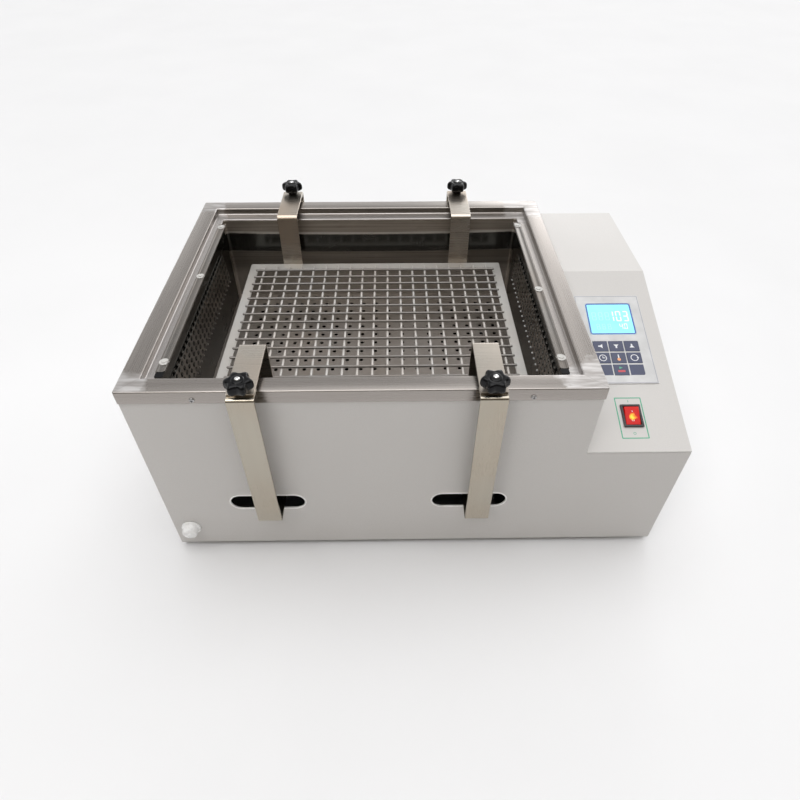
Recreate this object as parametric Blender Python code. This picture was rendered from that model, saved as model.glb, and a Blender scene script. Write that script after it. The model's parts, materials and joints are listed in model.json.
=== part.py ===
"""Reciprocating shaking water bath: painted casing, stainless tank, hung tray and shaker drive.

Frame: metres, +Z up, origin on the surface that the feet stand on, under the centre of the
bounding box. +X runs to the control box on the right, -Y is the front.
"""
import math

import bmesh
import bpy
from mathutils import Matrix, Vector

# ---------------------------------------------------------------- driving dimensions
CASE_W = 0.700          # casing width, tank section and control box together
CASE_D = 0.475          # casing depth
TANK_W = 0.565          # width of the tank section
FOOT_H = 0.010          # casing bottom above the bench
RIM_H = 0.307           # rim top above the casing bottom
SKIRT_H = 0.018         # rim skirt
SHEET = 0.0015          # painted sheet thickness
STEEL = 0.0012          # stainless sheet thickness
GAP = 0.0003            # clearance between touching pieces
OVERHANG = SHEET        # rim skirt stands this far outside the casing

CTRL_FRONT_H = 0.194    # height of the control box at its front edge
CTRL_TOP_H = 0.284      # height of its flat rear top
CTRL_FOLD = 0.285       # depth at which the slope meets the flat top

RIM_W = 0.0235          # width of the flat rim top
LEDGE_DROP = 0.010      # lid ledge below the rim top
TANK_X = (0.036, 0.528)     # tank opening, from the casing's left face
TANK_Y = (0.033, 0.432)     # tank opening, from the casing's front face
TANK_FLOOR = 0.118      # underside of the tank above the casing bottom

SLOT_L = 0.103          # shaker slots in the front and rear panels
SLOT_H = 0.029
SLOT_Z = 0.097
SLOT_PITCH = 0.278

ARM_W = 0.032           # flat bar of the outer arms and hangers
ARM_T = 0.003
ARM_PITCH = 0.282
ARM_OUT = 0.0245        # outer face of the arm in front of the casing
ARM_LOW = 0.084         # underside of the arm's tongue
ARM_TOP = 0.318         # top of the hanger plate
CRANK_THROW = 0.010
REST_PHASE = math.radians(45.0)     # crank angle at rest

TRAY_W = 0.424
TRAY_D = 0.325
TRAY_TOP = 0.237
TRAY_BAR = 0.014
WIRE_PITCH = 0.0207
WIRE_W = 0.003
WIRE_H = 0.0024
WIRES_X = 14            # wires that run along X
WIRES_Y = 19            # wires that run along Y

FILM_TOP = 0.0013       # keypad plate's face above the sloped sheet
ROCKER_TILT = math.radians(10)

KNOB_R = 0.017
KNOB_Y = 0.0125         # knob axis in front of the casing

# ---------------------------------------------------------------- derived places in the frame
X0 = -(CASE_W - OVERHANG) / 2       # casing left face
X1 = X0 + CASE_W                    # casing right face
XT = X0 + TANK_W                    # outer face of the wall beside the tank
Y0 = -CASE_D / 2                    # casing front face
Y1 = CASE_D / 2                     # casing rear face
Z0 = FOOT_H                         # casing bottom
RIM_TOP = Z0 + RIM_H
TANK_MID = X0 + TANK_W / 2
TRAY_MID = TANK_MID + CRANK_THROW * math.sin(REST_PHASE)
SLOPE = math.atan2(CTRL_TOP_H - CTRL_FRONT_H, CTRL_FOLD)

COLOURS = {
    "paint": ((0.72, 0.71, 0.69), 0.45, 0.0),
    "stainless": ((0.62, 0.61, 0.59), 0.28, 1.0),
    "steel": ((0.45, 0.45, 0.46), 0.35, 1.0),
    "aluminium": ((0.70, 0.71, 0.72), 0.40, 1.0),
    "black_plastic": ((0.02, 0.02, 0.022), 0.25, 0.0),
    "white_plastic": ((0.88, 0.88, 0.86), 0.35, 0.0),
    "rubber": ((0.03, 0.03, 0.03), 0.80, 0.0),
    "panel_film": ((0.80, 0.80, 0.79), 0.40, 0.0),
    "key_film": ((0.05, 0.06, 0.13), 0.35, 0.0),
    "display": ((0.20, 0.75, 0.90), 0.15, 0.0),
    "board": ((0.05, 0.25, 0.10), 0.50, 0.0),
    "red_plastic": ((0.80, 0.05, 0.02), 0.25, 0.0),
    "heater_metal": ((0.50, 0.48, 0.45), 0.35, 1.0),
}


def clear_scene():
    for obj in list(bpy.data.objects):
        bpy.data.objects.remove(obj, do_unlink=True)


def material(name):
    mat = bpy.data.materials.get(name)
    if mat:
        return mat
    colour, rough, metal = COLOURS[name]
    mat = bpy.data.materials.new(name)
    mat.use_nodes = True
    shader = mat.node_tree.nodes["Principled BSDF"]
    shader.inputs["Base Color"].default_value = (*colour, 1.0)
    shader.inputs["Roughness"].default_value = rough
    shader.inputs["Metallic"].default_value = metal
    return mat


# ---------------------------------------------------------------- mesh helpers
def place(bm, name, mat_name, origin=(0, 0, 0), smooth=False):
    """Turn a bmesh in world coordinates into an object whose origin is at the given point."""
    bmesh.ops.recalc_face_normals(bm, faces=bm.faces)
    bmesh.ops.translate(bm, verts=bm.verts, vec=-Vector(origin))
    mesh = bpy.data.meshes.new(name)
    bm.to_mesh(mesh)
    bm.free()
    mesh.materials.append(material(mat_name))
    if smooth:
        mesh.shade_smooth()
        mesh.set_sharp_from_angle(angle=math.radians(35))
    obj = bpy.data.objects.new(name, mesh)
    obj.location = origin
    bpy.context.scene.collection.objects.link(obj)
    return obj


def box_mesh(bm, low, high):
    centre = (Vector(low) + Vector(high)) / 2
    size = Vector(high) - Vector(low)
    matrix = Matrix.Translation(centre) @ Matrix.Diagonal((*size, 1.0))
    return bmesh.ops.create_cube(bm, size=1.0, matrix=matrix)["verts"]


def box(name, mat_name, low, high, origin=(0, 0, 0)):
    bm = bmesh.new()
    box_mesh(bm, low, high)
    return place(bm, name, mat_name, origin)


def bridge(bm, lower, upper):
    count = len(lower)
    for i in range(count):
        j = (i + 1) % count
        bm.faces.new((lower[i], lower[j], upper[j], upper[i]))


def loft_mesh(bm, rings, closed=False):
    """Join rings of points of equal length. An open stack gets end faces, a closed one loops."""
    loops = [[bm.verts.new(p) for p in ring] for ring in rings]
    for lower, upper in zip(loops, loops[1:]):
        bridge(bm, lower, upper)
    if closed:
        bridge(bm, loops[-1], loops[0])
    else:
        bm.faces.new(loops[0])
        bm.faces.new(loops[-1])


def loft(name, mat_name, rings, closed=False, origin=(0, 0, 0), smooth=False):
    bm = bmesh.new()
    loft_mesh(bm, rings, closed)
    return place(bm, name, mat_name, origin, smooth)


def rect(x0, x1, y0, y1, z):
    return [(x0, y0, z), (x1, y0, z), (x1, y1, z), (x0, y1, z)]


def circle(radius, sides, start=0.0):
    step = 2 * math.pi / sides
    return [(radius * math.cos(start + i * step), radius * math.sin(start + i * step))
            for i in range(sides)]


def basis(axis):
    """Two unit vectors across an axis, so that u x v points along it."""
    axis = Vector(axis).normalized()
    side = Vector((1, 0, 0)) if abs(axis.x) < 0.9 else Vector((0, 1, 0))
    v = axis.cross(side).normalized()
    u = v.cross(axis).normalized()
    return u, v, axis


def turned_rings(base, axis, profile, sides):
    """Rings of a turned piece: profile holds (radius, distance along the axis)."""
    u, v, axis = basis(axis)
    base = Vector(base)
    rings = []
    for radius, along in profile:
        rings.append([base + axis * along + u * a + v * b for a, b in circle(radius, sides)])
    return rings


def turned(name, mat_name, base, axis, profile, sides=32, origin=(0, 0, 0), closed=False):
    return loft(name, mat_name, turned_rings(base, axis, profile, sides), closed, origin, True)


def prism_rings(outline, low, high, axis):
    """An outline extruded along an axis: XY outlines along Z, XZ along Y, YZ along X."""
    spots = {"X": lambda a, b, c: (c, a, b), "Y": lambda a, b, c: (a, c, b), "Z": lambda a, b, c: (a, b, c)}
    spot = spots[axis]
    return [[spot(a, b, level) for a, b in outline] for level in (low, high)]


def prism(name, mat_name, outline, low, high, axis="Z", origin=(0, 0, 0), smooth=False):
    return loft(name, mat_name, prism_rings(outline, low, high, axis), False, origin, smooth)


def obround(cx, cy, length, height, steps=8):
    """A slot outline with round ends."""
    radius = height / 2
    reach = length / 2 - radius
    points = []
    for side, start in ((1, -90), (-1, 90)):
        for i in range(steps + 1):
            angle = math.radians(start + 180 * i / steps)
            points.append((cx + side * reach + radius * math.cos(angle), cy + radius * math.sin(angle)))
    return points


def boolean(target, tool, operation):
    tool.hide_render = True
    tool.display_type = "WIRE"
    modifier = target.modifiers.new(tool.name, "BOOLEAN")
    modifier.operation = operation
    modifier.solver = "EXACT"
    modifier.object = tool


def cut(target, tool):
    boolean(target, tool, "DIFFERENCE")


def fuse(target, tool):
    boolean(target, tool, "UNION")


def cutter_box(target, low, high):
    cut(target, box(f"cutter_{len(bpy.data.objects)}", "steel", low, high))


def cutter_round(target, base, axis, radius, length, sides=24):
    rings = turned_rings(base, axis, [(radius, 0), (radius, length)], sides)
    cut(target, loft(f"cutter_{len(bpy.data.objects)}", "steel", rings))


def cutter_prism(target, outline, low, high, axis):
    rings = prism_rings(outline, low, high, axis)
    cut(target, loft(f"cutter_{len(bpy.data.objects)}", "steel", rings))


# ---------------------------------------------------------------- casing
def slope_point(x, along, out=0.0):
    """A point of the sloped control face: along is measured up the slope from its front edge."""
    y = Y0 + along * math.cos(SLOPE) - out * math.sin(SLOPE)
    z = Z0 + CTRL_FRONT_H + along * math.sin(SLOPE) + out * math.cos(SLOPE)
    return Vector((X0 + x, y, z))


def slope_rings(x0, x1, s0, s1, out0, out1):
    rings = []
    for out in (out0, out1):
        rings.append([slope_point(x, s, out) for x, s in ((x0, s0), (x1, s0), (x1, s1), (x0, s1))])
    return rings


def slope_box(name, mat_name, x_range, s_range, out_range, origin=(0, 0, 0)):
    return loft(name, mat_name, slope_rings(*x_range, *s_range, *out_range), origin=origin)


def slope_cut(target, x_range, s_range, out_range=(-0.02, 0.02)):
    cut(target, slope_box(f"cutter_{len(bpy.data.objects)}", "steel", x_range, s_range, out_range))


def slot_centres():
    return [TANK_MID - SLOT_PITCH / 2, TANK_MID + SLOT_PITCH / 2]


def end_panel(name, y_out, y_in, step_height):
    """Front or rear sheet: full width, stepped down beside the tank, with two shaker slots."""
    high = RIM_TOP - STEEL - GAP
    low = Z0
    step = Z0 + step_height
    outline = [(X0, low), (X1, low), (X1, step), (XT, step), (XT, high), (X0, high)]
    panel = prism(name, "paint", outline, y_out, y_in, "Y")
    for x in slot_centres():
        cutter_prism(panel, obround(x, Z0 + SLOT_Z, SLOT_L, SLOT_H), y_out - 0.01, y_in + 0.01, "Y")
    return panel


DRAIN_X = X0 + 0.024
DRAIN_Z = Z0 + 0.039
INLET_X = X0 + 0.640
INLET_Z = Z0 + 0.062


def front_panel():
    lowered = CTRL_FRONT_H - SHEET / math.cos(SLOPE) - GAP
    panel = end_panel("front_panel", Y0, Y0 + SHEET, lowered)
    cutter_round(panel, (DRAIN_X, Y0 - 0.01, DRAIN_Z), (0, 1, 0), 0.0083, 0.02)


def rear_panel():
    lowered = CTRL_TOP_H - SHEET - GAP
    panel = end_panel("rear_panel", Y1 - SHEET, Y1, lowered)
    half_w, half_h = 0.0140, 0.0100
    cutter_box(panel, (INLET_X - half_w, Y1 - 0.01, INLET_Z - half_h),
               (INLET_X + half_w, Y1 + 0.01, INLET_Z + half_h))
    for i in range(6):
        slot = obround(INLET_X, Z0 + 0.130 + i * 0.012, 0.070, 0.004, 4)
        cutter_prism(panel, slot, Y1 - 0.01, Y1 + 0.01, "Y")


def side_panels():
    inner = SHEET + GAP
    high = RIM_TOP - STEEL - GAP
    box("left_panel", "paint", (X0, Y0 + inner, Z0), (X0 + SHEET, Y1 - inner, high))
    drop = SHEET / math.cos(SLOPE) + GAP
    flat = Z0 + CTRL_TOP_H - SHEET - GAP
    y_fold = Y0 + CTRL_FOLD
    y_front = Y0 + inner
    z_front = Z0 + CTRL_FRONT_H - drop + inner * math.tan(SLOPE)
    fold_drop = drop - SHEET - GAP
    outline = [(y_front, Z0), (Y1 - inner, Z0), (Y1 - inner, flat),
               (y_fold + fold_drop / math.tan(SLOPE), flat), (y_front, z_front)]
    prism("right_panel", "paint", outline, X1 - SHEET, X1, "X")


def tank_side_panel():
    """Bulkhead between the wet side and the control box, painted where it shows above it."""
    inset = 2 * (SHEET + GAP)
    high = RIM_TOP - STEEL - GAP
    panel = box("tank_side_panel", "paint", (XT - SHEET, Y0 + inset, Z0 + SHEET + GAP),
                (XT, Y1 - inset, high))
    cutter_box(panel, (XT - 0.01, Y0 + 0.205, Z0 + 0.125), (XT + 0.01, Y0 + 0.270, Z0 + 0.150))


def base_pan():
    inset = SHEET + GAP
    lip = 0.015
    low, high = (X0 + inset, Y0 + inset), (X1 - inset, Y1 - inset)
    inner = SHEET
    rings = [
        rect(low[0], high[0], low[1], high[1], Z0),
        rect(low[0], high[0], low[1], high[1], Z0 + lip),
        rect(low[0] + inner, high[0] - inner, low[1] + inner, high[1] - inner, Z0 + lip),
        rect(low[0] + inner, high[0] - inner, low[1] + inner, high[1] - inner, Z0 + SHEET),
    ]
    loft("base_pan", "steel", rings)


PANEL_X = (0.586, 0.680)        # keypad panel on the slope, from the casing's left face
PANEL_S = (0.1004, 0.2507)      # and up the slope
LCD_X = (0.600, 0.666)
LCD_S = (0.1814, 0.2366)
KEY_TOP_S = 0.1700
KEY_PITCH_X = 0.022
KEY_PITCH_S = 0.0195
KEY_W = 0.0205
KEY_H = 0.0175
SWITCH_X = (0.6194, 0.6456)
SWITCH_S = (0.0350, 0.0680)


def control_cover():
    """Bent sheet: sloped face with the panel and switch cutouts, then the flat rear top."""
    left = XT + GAP
    z_edge = Z0 + CTRL_FRONT_H
    z_top = Z0 + CTRL_TOP_H
    y_fold = Y0 + CTRL_FOLD
    under = SHEET / math.cos(SLOPE)
    shift = SHEET * math.tan(SLOPE / 2)
    outline = [(Y0, z_edge), (y_fold, z_top), (Y1, z_top), (Y1, z_top - SHEET),
               (y_fold + shift, z_top - SHEET), (Y0, z_edge - under)]
    cover = prism("control_cover", "paint", outline, left, X1, "X")
    margin = 0.004
    slope_cut(cover, (LCD_X[0] - margin, LCD_X[1] + margin), (PANEL_S[0] + 0.006, PANEL_S[1] - 0.006))
    rim = 0.002
    slope_cut(cover, (SWITCH_X[0] + rim, SWITCH_X[1] - rim), (SWITCH_S[0] + rim, SWITCH_S[1] - rim))


def feet():
    for i, (x, y) in enumerate(((0.060, 0.060), (0.640, 0.060), (0.060, 0.415), (0.640, 0.415))):
        height = FOOT_H - GAP
        profile = [(0.013, 0), (0.015, 0.003), (0.015, height)]
        turned(f"foot_{i + 1}", "rubber", (X0 + x, Y0 + y, 0), (0, 0, 1), profile, 24)


# ---------------------------------------------------------------- rim and tank
def rim_frame():
    """One pressed frame: skirt, flat top, step down and lid ledge, swept round the tank."""
    outer = OVERHANG
    skin = OVERHANG - GAP
    top = RIM_TOP
    skirt = top - SKIRT_H
    ledge = top - LEDGE_DROP

    def ring(inset, z):
        return rect(X0 + inset, XT - inset, Y0 + inset, Y1 - inset, z)

    def opening(z):
        return rect(X0 + TANK_X[0], X0 + TANK_X[1], Y0 + TANK_Y[0], Y0 + TANK_Y[1], z)

    rings = [
        ring(-outer, skirt), ring(-outer, top), ring(RIM_W, top), ring(RIM_W, ledge),
        opening(ledge), opening(ledge - STEEL), ring(RIM_W - STEEL, ledge - STEEL),
        ring(RIM_W - STEEL, top - STEEL), ring(skin - outer, top - STEEL), ring(skin - outer, skirt),
    ]
    loft("rim_frame", "stainless", rings, closed=True)


def tank_tub():
    """Deep-drawn tank with a flange that hangs under the rim's ledge."""
    flange = 0.008
    top = RIM_TOP - LEDGE_DROP - STEEL - GAP
    floor = Z0 + TANK_FLOOR

    def ring(out, z):
        return rect(X0 + TANK_X[0] - out, X0 + TANK_X[1] + out, Y0 + TANK_Y[0] - out, Y0 + TANK_Y[1] + out, z)

    rings = [
        ring(STEEL, floor), ring(STEEL, top - STEEL), ring(flange, top - STEEL),
        ring(flange, top), ring(0, top), ring(0, floor + STEEL),
    ]
    tub = loft("tank_tub", "stainless", rings)
    cutter_round(tub, (X0 + 0.050, Y0 + 0.047, floor - 0.01), (0, 0, 1), 0.005, 0.02, 16)
    for y in (Y0 + 0.222, Y0 + 0.252):
        cutter_round(tub, (X0 + TANK_X[1] - 0.01, y, HEATER_Z), (1, 0, 0), 0.0048, 0.03, 16)
    cutter_round(tub, (X0 + TANK_X[1] - 0.01, PROBE_Y, PROBE_Z), (1, 0, 0), 0.0035, 0.03, 16)


RAIL_SPOTS = {"left": (0.062, 0.255, 0.403), "right": (0.064, 0.215, 0.403)}


def lid_rails():
    """Strips on the side ledges that narrow the opening, each with three locating studs."""
    z = RIM_TOP - LEDGE_DROP + GAP
    width = 0.012
    for side, x in (("left", X0 + 0.031), ("right", X0 + 0.521)):
        rail = box(f"lid_rail_{side}", "stainless", (x, Y0 + 0.044, z), (x + width, Y0 + 0.413, z + SHEET))
        for spot in RAIL_SPOTS[side]:
            rings = turned_rings((x + width / 2, Y0 + spot, z + SHEET / 2), (0, 0, 1),
                                 [(0.0052, 0), (0.0052, 0.0016), (0.0038, 0.0022)], 16)
            fuse(rail, loft(f"stud_{side}_{int(spot * 1000)}", "white_plastic", rings))


# ---------------------------------------------------------------- heating, sensing and drain
HEATER_Z = Z0 + TANK_FLOOR + 0.018
PROBE_Y = Y0 + 0.150
PROBE_Z = Z0 + 0.190
SHELF_Z = Z0 + 0.150


def tube(name, mat_name, points, radius, resolution=2):
    curve = bpy.data.curves.new(name, "CURVE")
    curve.dimensions = "3D"
    curve.bevel_depth = radius
    curve.bevel_resolution = resolution
    curve.use_fill_caps = True
    spline = curve.splines.new("POLY")
    spline.points.add(len(points) - 1)
    for point, co in zip(spline.points, points):
        point.co = (*co, 1.0)
    curve.materials.append(material(mat_name))
    obj = bpy.data.objects.new(name, curve)
    bpy.context.scene.collection.objects.link(obj)
    return obj


def rounded_path(corners, radius, steps=5):
    """A path through corners, each turned by an arc-like blend of the given reach."""
    corners = [Vector(c) for c in corners]
    path = [corners[0]]
    for before, corner, after in zip(corners, corners[1:], corners[2:]):
        start = corner + (before - corner).normalized() * radius
        end = corner + (after - corner).normalized() * radius
        for i in range(steps + 1):
            t = i / steps
            path.append(start.lerp(corner, t).lerp(corner.lerp(end, t), t))
    path.append(corners[-1])
    return path


def heater():
    """Tubular element: one long hairpin, bent into a W, with both ends through the tank wall."""
    right = X0 + TANK_X[1] + 0.012
    near, far = X0 + 0.420, X0 + 0.090
    y = [Y0 + v for v in (0.222, 0.100, 0.160, 0.310, 0.370, 0.252)]
    corners = [(right, y[0]), (near + 0.060, y[0]), (near + 0.060, y[1]), (far, y[1]), (far, y[2]),
               (near, y[2]), (near, y[3]), (far, y[3]), (far, y[4]), (near + 0.060, y[4]),
               (near + 0.060, y[5]), (right, y[5])]
    path = rounded_path([(cx, cy, HEATER_Z) for cx, cy in corners], 0.012, 4)
    tube("heater", "heater_metal", path, 0.0042, 1)


def temp_probe():
    base = (X0 + TANK_X[1] + 0.016, PROBE_Y, PROBE_Z)
    profile = [(0.0022, 0), (0.0030, 0.002), (0.0030, 0.066), (0.0018, 0.070)]
    turned("temp_probe", "heater_metal", base, (-1, 0, 0), profile, 16)


def perforated_shelf():
    """Guard over the heating element: a folded sheet with round water holes."""
    inset = 0.003
    x0, x1 = X0 + TANK_X[0] + inset, X0 + TANK_X[1] - inset
    y0, y1 = Y0 + TANK_Y[0] + inset, Y0 + TANK_Y[1] - inset
    floor = Z0 + TANK_FLOOR + STEEL + GAP
    top = SHELF_Z
    outline = [(x0, floor), (x0 + STEEL, floor), (x0 + STEEL, top - STEEL),
               (x1 - STEEL, top - STEEL), (x1 - STEEL, floor), (x1, floor), (x1, top), (x0, top)]
    shelf = prism("perforated_shelf", "stainless", outline, y0, y1, "Y")
    columns, rows = 7, 5
    for i in range(columns):
        for j in range(rows):
            x = x0 + (x1 - x0) * (i + 0.5) / columns
            y = y0 + (y1 - y0) * (j + 0.5) / rows
            cutter_round(shelf, (x, y, top - 0.01), (0, 0, 1), 0.012, 0.02, 10)
    for side in (x0, x1):
        cutter_box(shelf, (side - 0.01, Y0 + 0.200, floor - 0.01), (side + 0.01, Y0 + 0.275, HEATER_Z + 0.008))


def drain():
    """Filled drain tube from the tank floor to a threaded nozzle, with a turned plastic cap."""
    top = (X0 + 0.050, Y0 + 0.047, Z0 + TANK_FLOOR - GAP)
    corners = [top, (X0 + 0.050, Y0 + 0.047, Z0 + 0.085), (DRAIN_X, Y0 + 0.047, DRAIN_Z + 0.012),
               (DRAIN_X, Y0 + 0.035, DRAIN_Z), (DRAIN_X, Y0 - 0.011, DRAIN_Z)]
    tube("drain_pipe", "white_plastic", rounded_path(corners, 0.008, 4), 0.0070, 2)
    profile = [(0.0075, 0.0125), (0.0075, 0.0), (0.0135, 0.0), (0.0135, 0.0025), (0.0120, 0.0035),
               (0.0120, 0.0150), (0.0105, 0.0165)]
    base = (DRAIN_X, Y0 - GAP, DRAIN_Z)
    turned("drain_cap", "white_plastic", base, (0, -1, 0), profile, 24, base)


# ---------------------------------------------------------------- shaker drive under the tank
ROD_R = 0.006
ROD_Z = Z0 + 0.066
ROD_Y = (Y0 + 0.095, Y0 + 0.380)
PLATE_Z = Z0 + ARM_LOW + ARM_T + GAP
CONROD_L = 0.090
DRIVE_Y = Y0 + CASE_D / 2
PIN_X = TRAY_MID
LINK_ANGLE = math.asin(CRANK_THROW * math.cos(REST_PHASE) / CONROD_L)
CRANK_PIN_X = PIN_X - CONROD_L * math.cos(LINK_ANGLE)
CRANK_PIN_Y = DRIVE_Y + CRANK_THROW * math.cos(REST_PHASE)
CRANK_X = CRANK_PIN_X - CRANK_THROW * math.sin(REST_PHASE)


def guides():
    reach = (X0 + 0.098, X0 + 0.478)
    for name, y in zip(("front", "rear"), ROD_Y):
        length = reach[1] - reach[0]
        turned(f"guide_rod_{name}", "steel", (reach[0], y, ROD_Z), (1, 0, 0),
               [(ROD_R - 0.001, 0), (ROD_R, 0.001), (ROD_R, length - 0.001), (ROD_R - 0.001, length)], 24)
    low = Z0 + SHEET + GAP
    for name, x in (("left", X0 + 0.100), ("right", X0 + 0.470)):
        outline = [(Y0 + 0.070, low), (Y1 - 0.070, low), (Y1 - 0.070, Z0 + 0.080), (Y1 - 0.120, Z0 + 0.080),
                   (Y1 - 0.150, Z0 + 0.030), (Y0 + 0.150, Z0 + 0.030), (Y0 + 0.120, Z0 + 0.080),
                   (Y0 + 0.070, Z0 + 0.080)]
        beam = prism(f"rod_support_{name}", "steel", outline, x, x + 0.006, "X")
        for y in ROD_Y:
            cutter_round(beam, (x - 0.01, y, ROD_Z), (1, 0, 0), ROD_R + GAP, 0.03)
    for name, y in zip(("front", "rear"), ROD_Y):
        block = box(f"bearing_block_{name}", "aluminium", (TRAY_MID - 0.060, y - 0.016, ROD_Z - 0.014),
                    (TRAY_MID + 0.060, y + 0.016, PLATE_Z - GAP))
        cutter_round(block, (TRAY_MID - 0.070, y, ROD_Z), (1, 0, 0), ROD_R + GAP, 0.140)


def carriage_plate():
    """Moving plate on the bearing blocks, with the pin that the connecting rod pulls."""
    plate = box("carriage_plate", "aluminium", (TRAY_MID - 0.165, Y0 + 0.050, PLATE_Z),
                (TRAY_MID + 0.165, Y1 - 0.050, PLATE_Z + 0.003))
    rings = turned_rings((PIN_X, DRIVE_Y, PLATE_Z + 0.001), (0, 0, -1), [(0.005, 0), (0.005, 0.015)], 24)
    fuse(plate, loft("carriage_pin", "steel", rings))


def drive_motor():
    """Geared motor hung under a bridge bracket, its shaft upright through the crank."""
    centre = (CRANK_X, DRIVE_Y)
    deck = Z0 + 0.049
    low = Z0 + SHEET + GAP + 0.002
    profile = [(0.028, 0), (0.030, 0.002), (0.030, 0.020), (0.0275, 0.021), (0.0275, 0.036),
               (0.030, 0.037), (0.030, deck - GAP - low), (0.006, deck - GAP - low),
               (0.006, deck + 0.004 - low), (0.004, deck + 0.004 - low), (0.004, deck + 0.014 - low)]
    turned("drive_motor", "steel", (*centre, low), (0, 0, 1), profile, 28)
    half_x, half_y, wall = 0.050, 0.036, 0.002
    floor = Z0 + SHEET + GAP
    outline = [(centre[0] - half_x, floor), (centre[0] - half_x + wall, floor),
               (centre[0] - half_x + wall, deck), (centre[0] + half_x - wall, deck),
               (centre[0] + half_x - wall, floor), (centre[0] + half_x, floor),
               (centre[0] + half_x, deck + wall), (centre[0] - half_x, deck + wall)]
    bracket = prism("motor_bracket", "steel", outline, DRIVE_Y - half_y, DRIVE_Y + half_y, "Y")
    cutter_round(bracket, (*centre, deck - 0.01), (0, 0, 1), 0.0065, 0.03)


CRANK_LOW = Z0 + 0.0545
LINK_LOW = Z0 + 0.0745
LINK_T = 0.006


def crank():
    """Eccentric disc with its pin; the pin stops just under the connecting rod's eye."""
    hub = (CRANK_X, DRIVE_Y, CRANK_LOW)
    stack = turned_rings(hub, (0, 0, 1), [(0.0043, 0), (0.024, 0), (0.025, 0.001), (0.025, 0.007),
                                          (0.024, 0.008), (0.010, 0.008), (0.010, 0.013), (0.0043, 0.013)], 32)
    disc = loft("crank_wheel", "steel", stack, True, hub, True)
    pin_top = LINK_LOW - 0.0006
    rings = turned_rings((CRANK_PIN_X, CRANK_PIN_Y, CRANK_LOW + 0.004), (0, 0, 1),
                         [(0.0035, 0), (0.0035, pin_top - CRANK_LOW - 0.004)], 20)
    fuse(disc, loft("crank_pin", "steel", rings))


def connecting_rod():
    """Flat link with an eye at each end, from the carriage pin to above the crank pin."""
    pivot = Vector((PIN_X, DRIVE_Y, LINK_LOW))
    along = Vector((CRANK_PIN_X - PIN_X, CRANK_PIN_Y - DRIVE_Y, 0)).normalized()
    across = Vector((-along.y, along.x, 0))
    eyes = ((CONROD_L, 0.0080, -90), (0.0, 0.0095, 90))
    outline = []
    for reach, radius, start in eyes:
        for i in range(11):
            angle = math.radians(start + 18 * i)
            spot = pivot + along * (reach + radius * math.cos(angle)) + across * (radius * math.sin(angle))
            outline.append((spot.x, spot.y))
    link = prism("connecting_rod", "steel", outline, LINK_LOW, LINK_LOW + LINK_T, "Z", pivot)
    for x, y, bore in ((PIN_X, DRIVE_Y, 0.0053), (CRANK_PIN_X, CRANK_PIN_Y, 0.0038)):
        cutter_round(link, (x, y, LINK_LOW - 0.01), (0, 0, 1), bore, 0.03)


# ---------------------------------------------------------------- outer arms, hangers, knobs
def arm_centres():
    return [TRAY_MID - ARM_PITCH / 2, TRAY_MID + ARM_PITCH / 2]


def arm_places():
    """Name, arm centre and the direction that points out of the casing."""
    places = []
    for side, x in zip(("left", "right"), arm_centres()):
        places.append((f"front_{side}", x, -1))
        places.append((f"rear_{side}", x, 1))
    return places


def bent_strip(name, x, facing, path, radius):
    """A flat bar bent along a path of (distance out of the casing, height) points."""
    middle = rounded_path([(0, out, z) for out, z in path], radius, 3)
    wall = Y1 if facing > 0 else Y0
    left, right = [], []
    for i, point in enumerate(middle):
        first = (point - middle[i - 1]).normalized() if i else (middle[1] - point).normalized()
        second = (middle[i + 1] - point).normalized() if i < len(middle) - 1 else first
        tangent = (first + second).normalized()
        normal = Vector((0, -tangent.z, tangent.y)) * (ARM_T / 2 / tangent.dot(first))
        left.append(point + normal)
        right.append(point - normal)
    outline = [(wall + facing * p.y, p.z) for p in left + right[::-1]]
    return prism(name, "stainless", outline, x - ARM_W / 2, x + ARM_W / 2, "X")


def outer_arms():
    """C-shaped bars: tongue through the slot, leg up the outside, flange above the rim."""
    mid = ARM_T / 2
    flange = Z0 + ARM_TOP - ARM_T - GAP - mid
    tongue = Z0 + ARM_LOW + mid
    out = ARM_OUT - mid
    for name, x, facing in arm_places():
        path = [(-0.075, tongue), (out, tongue), (out, flange), (0.0045, flange)]
        arm = bent_strip(f"arm_{name}", x, facing, path, 0.0040)
        wall = Y1 if facing > 0 else Y0
        cutter_round(arm, (x, wall + facing * KNOB_Y, flange - 0.01), (0, 0, 1), 0.0040, 0.02, 16)


def hangers():
    """L-shaped bars from under the knob, over the rim and down to the tray's edge."""
    mid = ARM_T / 2
    top = Z0 + ARM_TOP - mid
    inward = CASE_D / 2 - TRAY_D / 2 - mid - GAP
    for name, x, facing in arm_places():
        path = [(0.0170, top), (-inward, top), (-inward, Z0 + TRAY_TOP - 0.012)]
        hanger = bent_strip(f"hanger_{name}", x, facing, path, 0.0045)
        wall = Y1 if facing > 0 else Y0
        cutter_round(hanger, (x, wall + facing * KNOB_Y, top - 0.01), (0, 0, 1), 0.0040, 0.02, 16)


def lobed(radius, depth, lobes, per_lobe):
    """Outline of a star knob: round lobes with shallow finger hollows between them."""
    points = []
    for i in range(lobes * per_lobe):
        angle = 2 * math.pi * i / (lobes * per_lobe)
        wave = 0.5 + 0.5 * math.cos(lobes * angle)
        reach = radius - depth * (1 - wave) ** 1.6
        points.append((reach * math.cos(angle), reach * math.sin(angle)))
    return points


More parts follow.
